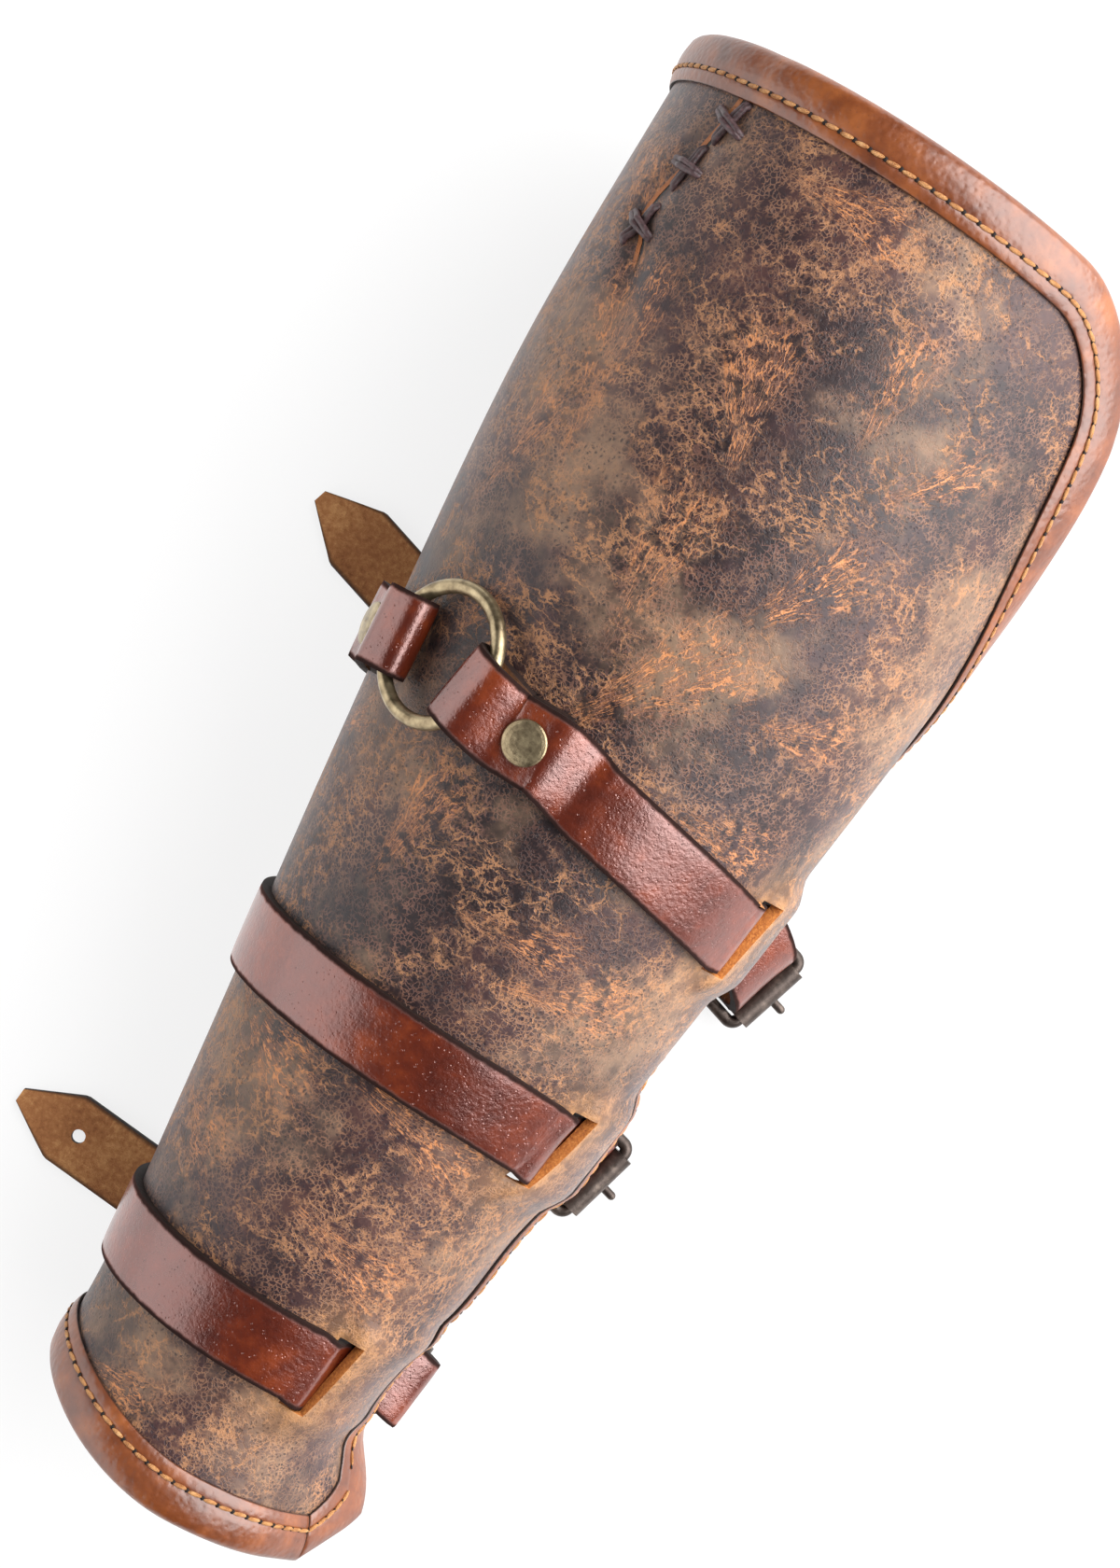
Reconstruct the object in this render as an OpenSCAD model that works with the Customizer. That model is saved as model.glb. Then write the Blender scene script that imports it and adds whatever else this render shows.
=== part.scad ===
// Leather bracer lying on its back: a laced, bound shell panel closed by three buckled straps.
// X runs across the forearm, Y from the wrist to the elbow, Z up. All sizes are in millimetres.

/* [Shell panel] */
// Length of the panel on its centre line, wrist to elbow
panel_len = 312.5; // [295:0.5:330]
// Thickness of the panel leather
panel_t = 2.8; // [2:0.1:3.2]
// Half width of the tube at the wrist
wrist_half = 33.4; // [32:0.2:36]
// Half width of the tube at the elbow
elbow_half = 57.4; // [54:0.2:60]
// Height of the tube as a share of its width
height_share = 0.93; // [0.88:0.01:1]
// Radius of the rounded elbow corners
corner_r = 24; // [20:1:28]
// Chamfer of the wrist corners
wrist_chamfer = 12; // [11:0.5:13]
// Depth of the pucker that runs down from the dart
pucker_depth = 1.8; // [0:0.1:2.5]

/* [Binding] */
// Thickness of the binding leather
bind_t = 1.25; // [0.8:0.05:1.4]
// Width of the binding on each face
bind_w = 10; // [7:0.5:10.5]

/* [Straps] */
// Width of the straps
strap_w = 17; // [15:0.5:17]
// Thickness of the straps
strap_t = 2.2; // [1.8:0.1:2.3]
// Distance of a strap slot from the panel's long edge
slot_in = 21; // [20:0.5:23]
// Width of the punched holes along a strap
hole_w = 3.2; // [3:0.1:3.6]
// Reach of the upper strap's tail past its heel bar
upper_tail = 136; // [120:1:140]
// Reach of the middle strap's tail past its heel bar
middle_tail = 76; // [60:1:80]
// Reach of the wrist strap's tail past its heel bar
wrist_tail = 92.5; // [75:0.5:96]

/* [Ring and rivets] */
// Inner diameter of the ring
ring_id = 25; // [24:0.5:26]
// Wire diameter of the ring
ring_wire = 3.1; // [2.8:0.1:3.2]
// Diameter of a rivet cap
cap_d = 9.4; // [8:0.2:9.6]
// Diameter of a rivet shank
shank_d = 2.6; // [2:0.1:2.8]

/* [Buckles] */
// Wire diameter of the buckle frame
wire_d = 2.8; // [2.4:0.1:2.9]
// Distance between the heel bar and the roller's axis
buckle_len = 12.4; // [12.2:0.1:14]
// Outer diameter of the roller
roller_d = 5.2; // [4.8:0.1:5.4]
// Diameter of the prong
prong_d = 2; // [1.6:0.1:2.2]
// Reach of the prong past the roller's axis
prong_over = 5; // [3:0.5:6]

/* [Hidden] */

$fn = 48;
fit = 0.08;          // running fit of the bores on their bars
seat = 0.2;          // gap between a strap and what it lies on
skin = 0.25;          // gap between the binding and the panel's faces
foot_room = 0.9;     // room under a riveted strap for the rivet's foot
deg = 180 / PI;
lean = 0.075;        // how far the hoops lean, because the widening tube lies on its back
panel_mid = -50;     // angle of the panel's centre line from the top of the tube
half_t = strap_t / 2;

// Stack under the tube, from the table up: tail, binding, panel
table_gap = strap_t + seat + bind_t + skin + 0.1;

// Half width of the tube at stations along its length
WIDTHS = [
  [0, wrist_half], [30, wrist_half + 0.2],
  [75, wrist_half + 0.21 * (elbow_half - wrist_half)],
  [150, wrist_half + 0.59 * (elbow_half - wrist_half)],
  [215, wrist_half + 0.885 * (elbow_half - wrist_half)],
  [panel_len - 62.5, elbow_half - 0.4], [panel_len - 2.5, elbow_half]
];

// Angle of the panel's two long edges from the top, at stations along its length
RIGHT_EDGE = [
  [0, 91], [14, 94], [31, 109], [50, 109], [64, 100], [80, 99.5], [104, 107], [160, 112], [205, 108],
  [panel_len - 77.5, 85.5], [panel_len - 47.5, 70], [panel_len - 2.5, 57]
];
LEFT_EDGE = [
  [0, -179], [20, -176], [41, -172], [104, -185], [160, -191], [205, -191],
  [panel_len - 77.5, -185.5], [panel_len - 47.5, -170], [panel_len - 2.5, -157]
];

// A smooth curve through stations
function station(st, x, i = 0) = (i >= len(st) - 2 || x <= st[i + 1][0]) ? i : station(st, x, i + 1);
function slope_at(st, i) =
  let (a = max(i - 1, 0), b = min(i + 1, len(st) - 1)) (st[b][1] - st[a][1]) / (st[b][0] - st[a][0]);
function along(st, x) =
  let (i = station(st, x), h = st[i + 1][0] - st[i][0], u = (x - st[i][0]) / h)
  (2 * u ^ 3 - 3 * u ^ 2 + 1) * st[i][1] + (u ^ 3 - 2 * u ^ 2 + u) * h * slope_at(st, i)
  + (3 * u ^ 2 - 2 * u ^ 3) * st[i + 1][1] + (u ^ 3 - u ^ 2) * h * slope_at(st, i + 1);
function ease(a, b, x) = let (u = min(max((x - a) / (b - a), 0), 1)) u * u * (3 - 2 * u);
function unit(v) = v / norm(v);

// The tube: half width, half height, and the angle past which its right flank runs straight
function half_w(s) = along(WIDTHS, s);
function half_h(s) = height_share * half_w(s);
function flank(s) = 100 - 58 * ease(200, panel_len - 27.5, s) - 45 * ease(40, 8, s);
function right_edge(s) = along(RIGHT_EDGE, s);
function left_edge(s) = along(LEFT_EDGE, s);

// Degrees round the tube that a length across it takes
function turn(len, s) = len / half_w(s) * deg;

// Straps: [slot at the right edge, slot at the left edge, heel bar x, heel bar y, turn of the buckle,
// how much further in the right slot is than the left one]
UPPER = [160.7, 169, 48.1, 154.5, -17, 17.9];
MIDDLE = [104.4, 112, 37.1, 99.1, -15, 16.1];
WRIST = [40.6, 43.5, 22, 38.5, -4.5, 24];
STRAPS = [WRIST, MIDDLE, UPPER];
slot_half = strap_w / 2 + 0.6;
right_slot_w = 5.5;
left_slot = [slot_in, slot_in + 8.8];
RIGHT_IN = concat([[0, slot_in + WRIST[5]]], [for (k = STRAPS) [k[0], slot_in + k[5]]], [[panel_len - 77.5, slot_in]]);
function right_in(s) = s > panel_len - 77.5 ? slot_in : along(RIGHT_IN, s);
bridge_lift = 2.6;   // how far a strap lifts the bridge of leather over it
bridge_fade = 8;     // length over which the lift dies out beside the strap

// Rise of the leather over a strap, at a distance in from the right edge
function lift(s, d) =
  bridge_lift * (1 - ease(right_in(s), right_in(s) + right_slot_w, d))
  * max([for (k = STRAPS) 1 - ease(slot_half, slot_half + bridge_fade, abs(s - k[0]))]);

// The dart: stations [distance from the elbow end, angle] down its slit, and the valley round it
DART_IN = [[77.5, -43], [56.5, -47], [43.5, -52.4], [37.5, -56.9], [24.1, -51.6], [11.8, -47], [-3.5, -44]];
DART = [for (p = DART_IN) [panel_len - p[0], p[1]]];
valley_from = panel_len - 80.5;
valley_full = panel_len - 44.5;
valley_end = panel_len - 4.5;
function valley(s, th) =
  let (off = (th - along(DART, s)) / deg * half_w(s))
  -pucker_depth * exp(-off * off / 18) * ease(valley_from, valley_full, s) * (1 - 0.75 * ease(panel_len - 27.5, valley_end, s));

// The wrist strap pulls the right flank in
squeeze = 5;
PULL = [[0, 0], [14, 0], [28, squeeze], [44, squeeze], [60, squeeze / 4], [80, squeeze / 5], [94, 0], [panel_len, 0]];

// A point of the tube at length s, angle th from the top and a height over its surface
function on_tube(s, th, up = 0) =
  let (
    a = half_w(s), b = half_h(s), t = min(th, flank(s)),
    n = unit([b * sin(t), a * cos(t)]),
    run = max(th - flank(s), 0) / deg * a,
    pull = along(PULL, s) * ease(15, 80, t),
    x = (a - pull) * sin(t) + n[1] * run + n[0] * up,
    z = b * cos(t) - n[0] * run + n[1] * up
  )
  [x, s - lean * z, table_gap + b + z];

// A point of the panel, which also follows the bridges and the dart
function on_panel(s, th, up) =
  on_tube(s, th, up + lift(s, (right_edge(s) - th) / deg * half_w(s)) + valley(s, th));

// The panel's two ends, at an angle and a distance in from the nearer long edge
function elbow_end(th, d) =
  panel_len - 4.5 * ((th - panel_mid) / 85) ^ 2
  - (d < corner_r ? corner_r - sqrt(corner_r ^ 2 - (corner_r - d) ^ 2) : 0);
function wrist_end(th, d) = 0.5 + 11 * ease(10, -100, th) + max(wrist_chamfer - d, 0);

// Columns of the panel's grid: distances in from each long edge, and steps between them
RIM = [0, 1, bind_w / 2, bind_w, wrist_chamfer];
function right_cols(s) =
  let (a = right_in(s), step = (a - wrist_chamfer) / 3)
  concat(RIM, [wrist_chamfer + step, a - step, a, a + right_slot_w, a + right_slot_w + 5]);
LEFT_COLS = concat(RIM, [(wrist_chamfer + slot_in) / 2, left_slot[0], left_slot[1], left_slot[1] + 5]);
right_count = len(right_cols(0));
middle_steps = 16;
cols = right_count + middle_steps - 1 + len(LEFT_COLS);

// Rows of the grid: the slots' ends and steps between them. Past elbow_from and short of wrist_from
// the rows spread to the panel's outline
elbow_from = panel_len - 82.5;
wrist_from = 27;
function slot_rows(k) = [
  k[0] - slot_half, k[1] - slot_half, (k[0] + k[1]) / 2 - 3,
  (k[0] + k[1]) / 2 + 3, k[0] + slot_half, k[1] + slot_half
];
ROWS = concat(
  [0, 9, 18, 22.5, wrist_from], slot_rows(WRIST), [57, 68, 80, 88.5, 92], slot_rows(MIDDLE), [132, 147], slot_rows(UPPER),
  [for (i = [0:3]) 186 + (elbow_from - 186) * i / 3],
  [for (d = [71.5, 59.5, 47.5, 37.5, 28.5, 19.5, 9.5, 0]) panel_len - d]
);

// Angle and distance from the nearer edge of column j, at length s
function col_angle(j, s) =
  let (r = right_count - 1, l = cols - len(LEFT_COLS))
  j <= r ? right_edge(s) - turn(right_cols(s)[j], s)
  : j >= l ? left_edge(s) + turn(LEFT_COLS[cols - 1 - j], s)
  : let (u = (j - r) / (l - r)) (1 - u) * col_angle(r, s) + u * col_angle(l, s);
function col_in(j, s) =
  j < right_count ? right_cols(s)[j] : j >= cols - len(LEFT_COLS) ? LEFT_COLS[cols - 1 - j] : 99;

// Length and angle of a grid point
function cell_place(row, j) =
  let (
    e = elbow_end(col_angle(j, min(row, panel_len)), col_in(j, row)),
    w = wrist_end(col_angle(j, row), col_in(j, row)),
    s = row > elbow_from ? elbow_from + (row - elbow_from) / (panel_len - elbow_from) * (e - elbow_from)
      : row < wrist_from ? wrist_from - (wrist_from - row) / wrist_from * (wrist_from - w)
      : row
  )
  [s, col_angle(j, s)];

function in_slot(s, j) = max([for (k = STRAPS)
  (j == right_count - 3 && abs(s - k[0]) < slot_half)
  || (j == cols - len(LEFT_COLS) + 1 && abs(s - k[1]) < slot_half) ? 1 : 0]) > 0;

// A sheet with a top and a bottom grid of points, closed all round and round its holes
module sheet(top, low, keep) {
  rows = len(top);
  wide = len(top[0]);
  n = rows * wide;
  id = function (i, j) i * wide + j;
  has = function (i, j) i >= 0 && j >= 0 && i < rows - 1 && j < wide - 1 && keep[i][j];
  wall = function (a, b) [[b, a, n + a], [b, n + a, n + b]];
  polyhedron(
    concat([for (r = top) each r], [for (r = low) each r]),
    [for (i = [0:rows - 2], j = [0:wide - 2]) if (keep[i][j])
      let (a = id(i, j), b = id(i, j + 1), c = id(i + 1, j + 1), d = id(i + 1, j))
      each concat(
        [[a, b, c], [a, c, d], [n + a, n + c, n + b], [n + a, n + d, n + c]],
        has(i - 1, j) ? [] : wall(a, b),
        has(i, j + 1) ? [] : wall(b, c),
        has(i + 1, j) ? [] : wall(c, d),
        has(i, j - 1) ? [] : wall(d, a)
      )]
  );
}

module shell_panel() {
  color("saddlebrown")
    sheet(
      [for (r = ROWS) [for (j = [0:cols - 1]) let (p = cell_place(r, j)) on_panel(p[0], p[1], 0)]],
      [for (r = ROWS) [for (j = [0:cols - 1]) let (p = cell_place(r, j)) on_panel(p[0], p[1], -panel_t)]],
      [for (i = [0:len(ROWS) - 2]) [for (j = [0:cols - 2]) !in_slot((ROWS[i] + ROWS[i + 1]) / 2, j)]]
    );
}

// The panel's outline, as lengths and angles, split where the binding strips meet at the chamfers.
// Each line has one more point at both ends, which only turns the strip's end. Points nearer to a
// corner than its mitre are left out
last_row = len(ROWS) - 1;
meet = 4;
mitre = 0.45 * bind_w;
function wrist_place(j) = cell_place(ROWS[0], j);
function edge_rows(j, order) = [for (i = order)
  let (p = cell_place(ROWS[i], j)) if (p[0] > wrist_place(j)[0] + mitre) p];
WRIST_LINE = concat(
  [wrist_place(meet - 1), 0.97 * wrist_place(meet) + 0.03 * wrist_place(meet + 1)],
  [for (j = [meet + 1:cols - meet - 2]) wrist_place(j)],
  [0.97 * wrist_place(cols - meet - 1) + 0.03 * wrist_place(cols - meet - 2), wrist_place(cols - meet)]
);
LONG_LINE = concat(
  [for (j = [meet + 1, meet, 2, 0]) wrist_place(j)],
  edge_rows(0, [1:last_row]),
  [for (j = [1:cols - 2]) cell_place(ROWS[last_row], j)],
  edge_rows(cols - 1, [last_row:-1:1]),
  [for (j = [0, 2, meet, meet + 1]) wrist_place(cols - 1 - j)]
);

// Step into the panel from point i of an outline, mitred where the outline turns
function flat_step(a, b) = [(b[1] - a[1]) / deg * half_w(a[0]), b[0] - a[0]];
function inward(line, i, side) =
  let (
    a = unit(flat_step(line[i - 1], line[i])), b = unit(flat_step(line[i], line[i + 1])),
    na = [-a[1], a[0]] * side, nb = [-b[1], b[0]] * side
  )
  (na + nb) / (1 + na * nb);
function stepped(line, i, side, w) =
  let (m = inward(line, i, side), s = line[i][0] + m[1] * w)
  [s, line[i][1] + m[0] * w / half_w(line[i][0]) * deg];

// Folded strip: [distance in from the edge, height over the panel's outer face]
inner = -panel_t - 2 * skin;
FOLD = concat(
  [for (w = [bind_w, bind_w / 2, 0]) [w, skin + bind_t]],
  [[-skin - bind_t, 0], [-skin - bind_t, -panel_t]],
  [for (w = [0, bind_w / 2, bind_w]) [w, inner - bind_t]],
  [for (w = [bind_w, bind_w / 2, -skin]) [w, inner]],
  [for (w = [-skin, bind_w / 2, bind_w]) [w, skin]]
);

// A solid swept through rings of points, with flat ends
module swept(rings, turned = false) {
  k = len(rings[0]);
  n = len(rings);
  sides = [for (i = [0:n - 2], j = [0:k - 1]) let (m = (j + 1) % k)
    each [[i * k + j, i * k + m, (i + 1) * k + m], [i * k + j, (i + 1) * k + m, (i + 1) * k + j]]];
  ends = [[for (j = [k - 1:-1:0]) j], [for (j = [0:k - 1]) (n - 1) * k + j]];
  faces = concat(sides, ends);
  polyhedron([for (r = rings) each r], turned ? [for (f = faces) [for (m = [len(f) - 1:-1:0]) f[m]]] : faces);
}

module binding(line, side, turned) {
  color("sienna")
    swept([for (i = [1:len(line) - 2]) [for (f = FOLD)
      let (p = stepped(line, i, side, f[0])) on_panel(p[0], p[1], f[1])]], turned);
}

module side_and_elbow_binding() { binding(LONG_LINE, 1, true); }
module wrist_binding() { binding(WRIST_LINE, -1, false); }

// Crosses of lace over the dart: [s, angle, turn] of each
CROSSES = [for (c = [[15.1, -46.4, 20], [26.5, -51.2, 35], [40.5, -55, 20]]) [panel_len - c[0], c[1], c[2]]];
lace_d = 1.5;
lace_reach = 5;

module dart_lacing() {
  color([0.29, 0.2, 0.2])
    for (c = CROSSES, leg = [0, 1])
      let (way = c[2] + (leg == 0 ? 45 : -40), r = lace_d / 2)
      swept([for (u = [-1, -0.85, -0.4, 0, 0.4, 0.85, 1])
        let (
          s = c[0] + lace_reach * u * sin(way),
          th = c[1] + turn(lace_reach * u * cos(way), c[0]),
          up = seat + r + 0.5 + (1 - abs(u)) * (leg == 0 ? 0.8 : 3),
          p = on_panel(s, th, up), q = on_panel(s + 0.1 * sin(way), th + turn(0.1 * cos(way), s), up),
          t = unit(q - p), n = unit(on_panel(s, th, up + 1) - p), w = cross(t, n)
        )
        [for (a = [0:60:300]) p + r * (cos(a) * w + sin(a) * n)]], false);
}

// A strap: stations [centre, rough width direction], a width factor for each and the holes' spans
function aim(st, i) = unit(st[min(i + 1, len(st) - 1)][0] - st[max(i - 1, 0)][0]);
module ribbon(st, share, holes) {
  at = function (i, across, up)
    let (t = aim(st, i), w = unit(st[i][1] - (st[i][1] * t) * t), n = cross(t, w))
    st[i][0] + across * w + up * n;
  x = [-strap_w / 2, -hole_w / 2, hole_w / 2, strap_w / 2];
  sheet(
    [for (i = [0:len(st) - 1]) [for (a = x) at(i, a * share[i], half_t)]],
    [for (i = [0:len(st) - 1]) [for (a = x) at(i, a * share[i], -half_t)]],
    [for (i = [0:len(st) - 2]) [for (j = [0:2]) j != 1 || max([for (h = holes) h == i ? 1 : 0]) == 0]]
  );
}

// Stations on the tube: the width runs along the tube's own line
function hug(s, th, up) = [on_tube(s, th, up), on_tube(s + 5, th, up) - on_tube(s - 5, th, up)];

// Points in a buckle's own frame: x from the heel bar towards the roller, z over the table
low_z = strap_t + foot_room + half_t;
loop_r = wire_d / 2 + 0.15 + half_t;
bar_z = low_z + loop_r;
function by_buckle(k, x, z, y = 0) =
  [k[2] + x * cos(k[4]) - y * sin(k[4]), k[3] + x * sin(k[4]) + y * cos(k[4]), z];
function flat_station(k, x, z) = [by_buckle(k, x, z), [-sin(k[4]), cos(k[4]), 0]];

// The chape: its turned end over the main layer, and the loop round the heel bar
rivet_back = 10.9;
flat_end = rivet_back + cap_d / 2 + 0.2;
over_z = low_z + strap_t + 0.1;
CHAPE = concat(
  [[-flat_end, over_z], [-rivet_back - hole_w / 2, over_z], [-rivet_back + hole_w / 2, over_z],
   [cap_d / 2 + 0.2 - rivet_back, over_z], [-4, over_z + 1.6], [-2, bar_z + loop_r - 0.4]],
  [for (a = [90:-30:-90]) [loop_r * cos(a), bar_z + loop_r * sin(a)]],
  [[-4, low_z], [-rivet_back + hole_w / 2, low_z], [-rivet_back - hole_w / 2, low_z], [-flat_end, low_z],
   [-flat_end - 1.5, low_z]]
);
chape_holes = [1, 4, 5, 6, 7, 8, 9, 10, 11, 12, 14];
function chape(k) = [for (c = CHAPE) flat_station(k, c[0], c[1])];

// From the chape over the bound left edge and out of the left slot
deep = -panel_t - 2 * skin - bind_t - seat - half_t;
under = -panel_t - seat - half_t;
top = seat + half_t;
function left_pass(k) =
  [for (p = [[-4, deep - 0.4], [0, deep], [bind_w, deep], [bind_w + 5, under], [left_slot[0] + 0.5, under],
             [left_slot[1] - 0.5, top + 0.1], [left_slot[1] + 2, top]])
    hug(k[1], left_edge(k[1]) + turn(p[0], k[1]), p[1])];

// Over the front from the left slot to the right slot, on a list of [angle, s]
function front(line, a, b, steps) =
  [for (i = [0:steps]) let (th = a + (b - a) * i / steps) hug(along(line, th), th, top)];

// Into the right slot, under the bridge and out past the edge
function right_pass(k) =
  let (a = slot_in + k[5], b = bind_w + 4, up = bridge_lift + under)
  [for (p = concat(
      [[a + right_slot_w - 0.7, top], [a + 0.6, up]],
      [for (i = [1:3]) [a + (b - a) * i / 4, up - 0.4]],
      [[b, up - 0.2], [bind_w + 0.8, bridge_lift + deep], [bind_w / 2, bridge_lift + deep],
       [0, bridge_lift + deep], [-2.5, bridge_lift + deep]]
    ))
    hug(k[0], right_edge(k[0]) - turn(p[0], k[0]), p[1])];

// Down to the buckle, through its window and along the table
window_x = buckle_len - roller_d / 2 - half_t - 0.35;
bend_r = 4;
tip_len = 12.5;
tip_w = 3.2;
function curve(p, q, r, t, n) =
  [for (i = [1:n]) let (u = i / n, v = 1 - u) v ^ 3 * p + 3 * u * v ^ 2 * q + 3 * u ^ 2 * v * r + u ^ 3 * t];
function fall(k, from, bulge, sway = 0, rise = 0.45) =
  let (
    p = from[0], w = by_buckle(k, window_x, bar_z + 2.5),
    q = p + [bulge, -sway, -0.35 * (p[2] - w[2])], r = w + [bulge * 0.75, -0.25 * sway, rise * (p[2] - w[2])]
  )
  [for (c = curve(p, q, r, w, 9)) [c, [-sin(k[4]), cos(k[4]), 0]]];
function tail(k, reach, hole_back) = concat(
  [flat_station(k, window_x, bend_r + half_t + 1.5)],
  [for (a = [0:-22.5:-90])
    flat_station(k, window_x - bend_r + bend_r * cos(a), bend_r + half_t + bend_r * sin(a))],
  [for (x = [0.3 * reach, reach - hole_back - hole_w / 2, reach - hole_back + hole_w / 2, reach - tip_len, reach])
    flat_station(k, -x, half_t)]
);

// Share of the full width at each station: only the tail's tip narrows
function shares(n) = [for (i = [0:n - 1]) i == n - 1 ? tip_w / strap_w : 1];

// Hole spans of a tail, counted back from its tip: the prong's hole and one spare hole
function tail_holes(n) = [n - 11, n - 10, n - 9, n - 4];

module whole_strap(k, line, reach, hole_back, bulge, sway = 0, rise = 0.45) {
  a = left_edge(k[1]) + turn(left_slot[1] + 6, k[1]);
  b = right_edge(k[0]) - turn(slot_in + k[5] + right_slot_w + 3, k[0]);
  inside = right_pass(k);
  st = concat(chape(k), left_pass(k), front(line, a, b, 30), inside, fall(k, inside[len(inside) - 1], bulge, sway, rise),
    tail(k, reach, hole_back));
  color("chocolate") ribbon(st, shares(len(st)), concat(chape_holes, tail_holes(len(st))));
}

// Lines of the straps over the front: [angle, s]
MIDDLE_LINE = [[-190, 112], [-156, 112], [-90, 109.6], [-36, 108.9], [20, 107.4], [60, 104.4], [90, 104.4]];
WRIST_LINE_S = [[-190, 43.5], [-137, 43.5], [-90, 42.7], [-20, 41.7], [20, 41.4], [40, 40.6], [90, 40.6]];
middle_hole_back = 30;
wrist_hole_back = 16.3;
middle_bulge = 2;
wrist_bulge = 17;
wrist_sway = 6.5;
wrist_rise = 0.6;
module middle_strap() { whole_strap(MIDDLE, MIDDLE_LINE, middle_tail, middle_hole_back, middle_bulge); }
module wrist_strap() { whole_strap(WRIST, WRIST_LINE_S, wrist_tail, wrist_hole_back, wrist_bulge, wrist_sway,
  wrist_rise); }

// The ring lies in its own plane over the panel, between the two folded straps
ring_s = 179.6;
ring_th = -41.7;
ring_up = 3.75;
ring_tilt = -39;
ring_r = (ring_id + ring_wire) / 2;
front_slant = 11.5;
side_slant = 6.3;
ring_at = on_tube(ring_s, ring_th, ring_up);
ring_rise = 6;       // climb of the tube's side line towards the elbow
ring_y = [0, cos(ring_rise), sin(ring_rise)];
ring_x0 = [cos(ring_tilt), 0, -sin(ring_tilt)];
ring_n = unit(cross(ring_x0, ring_y));
ring_x = cross(ring_y, ring_n);

module aimed(at, n) {
  translate(at) rotate([0, acos(n[2]), atan2(n[1], n[0])]) children();
}

module strap_ring() {
  color("darkkhaki")
    aimed(ring_at, ring_n) rotate_extrude($fn = 96) translate([ring_r, 0]) circle(d = ring_wire, $fn = 24);
}

// A fold round the ring, along u from its centre: turned end, pocket, then the layer on top
sag = ring_r - sqrt(ring_r ^ 2 - (strap_w / 2) ^ 2);
pocket_r = ring_wire / 2 + 0.3 + half_t;
pocket_in = ring_r - sag - ring_wire / 2 - 0.5 - half_t + pocket_r;
pocket_out = ring_r + ring_wire / 2 + 0.5;
fold_low = foot_room + half_t;
fold_high = fold_low + strap_t + 0.1;
fold_rivet = 25.5;
fold_end = 31;
function fold_dir(way, slant) = way * cos(slant) * ring_x - sin(slant) * ring_y;
function fold_side(way, slant) = way * sin(slant) * ring_x + cos(slant) * ring_y;
function in_plane(way, slant, u, z) = [ring_at + u * fold_dir(way, slant) + z * ring_n, fold_side(way, slant)];
function on_line(way, slant, u, up) =
  let (s = ring_s - u * sin(slant)) hug(s, ring_th + way * turn(u * cos(slant), ring_s), up);
// The two riveted layers lie flat where the rivet's cap holds them
function fold_up(way, slant) =
  let (
    a = on_line(way, slant, fold_rivet - 1, fold_low), b = on_line(way, slant, fold_rivet + 1, fold_low)
  )
  unit(cross(b[0] - a[0], a[1])) * way;
function fold_flat(way, slant, u, up) =
  let (p = on_line(way, slant, fold_rivet, fold_low), n = fold_up(way, slant), d = unit(cross(p[1], n)) * way)
  [p[0] + (u - fold_rivet) * d + (up - fold_low) * n, p[1]];
FLAT = [fold_rivet - cap_d / 2 - 0.2, fold_rivet - hole_w / 2, fold_rivet + hole_w / 2, fold_end];
function fold(way, slant) = concat(
  [for (i = [3:-1:0]) fold_flat(way, slant, FLAT[i], fold_low)],
  [for (u = [pocket_out, pocket_in]) in_plane(way, slant, u, -pocket_r)],
  [for (a = [-120, -150, 180, 150, 120])
    in_plane(way, slant, pocket_in + pocket_r * cos(a), pocket_r * sin(a))],
  [for (u = [pocket_in, pocket_out]) in_plane(way, slant, u, pocket_r)],
  [for (u = FLAT) fold_flat(way, slant, u, fold_high)],
  [on_line(way, slant, fold_end + 7, top)]
);
fold_holes = [1, 14];

module upper_front_strap() {
  b = right_edge(UPPER[0]) - turn(slot_in + UPPER[5] + right_slot_w + 3, UPPER[0]);
  u_end = (b - ring_th) / deg * half_w(ring_s) / cos(front_slant);
  s_end = UPPER[0];
  u0 = fold_end + 11;
  inside = right_pass(UPPER);
  run = [for (i = [0:13]) let (u = u0 + (u_end - u0) * i / 13, s = ring_s + (s_end - ring_s) * u / u_end)
    hug(s, ring_th + turn(u * cos(front_slant), ring_s), top)];
  outer = fall(UPPER, inside[len(inside) - 1], 6);
  st = concat(fold(1, front_slant), run, inside, outer, tail(UPPER, upper_tail, 40));
  color("chocolate") ribbon(st, shares(len(st)), concat(fold_holes, tail_holes(len(st))));
}

module upper_side_strap() {
  a = left_edge(UPPER[1]) + turn(left_slot[1] + 6, UPPER[1]);
  u0 = fold_end + 11;
  th0 = ring_th - turn(u0 * cos(side_slant), ring_s);
  s0 = ring_s - u0 * sin(side_slant);
  run = [for (i = [0:11]) let (v = i / 11) hug(s0 + (UPPER[1] - s0) * v, th0 + (a - th0) * v, top)];
  back = left_pass(UPPER);
  loop = chape(UPPER);
  st = concat(fold(-1, side_slant), run, [for (i = [len(back) - 1:-1:0]) back[i]],
    [for (i = [len(loop) - 1:-1:0]) loop[i]]);
  n = len(st);
  turned = [for (h = chape_holes) n - 2 - h];
  color("chocolate") ribbon([for (p = st) [p[0], -p[1]]], [for (i = [1:n]) 1], concat(fold_holes, turned));
}

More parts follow.
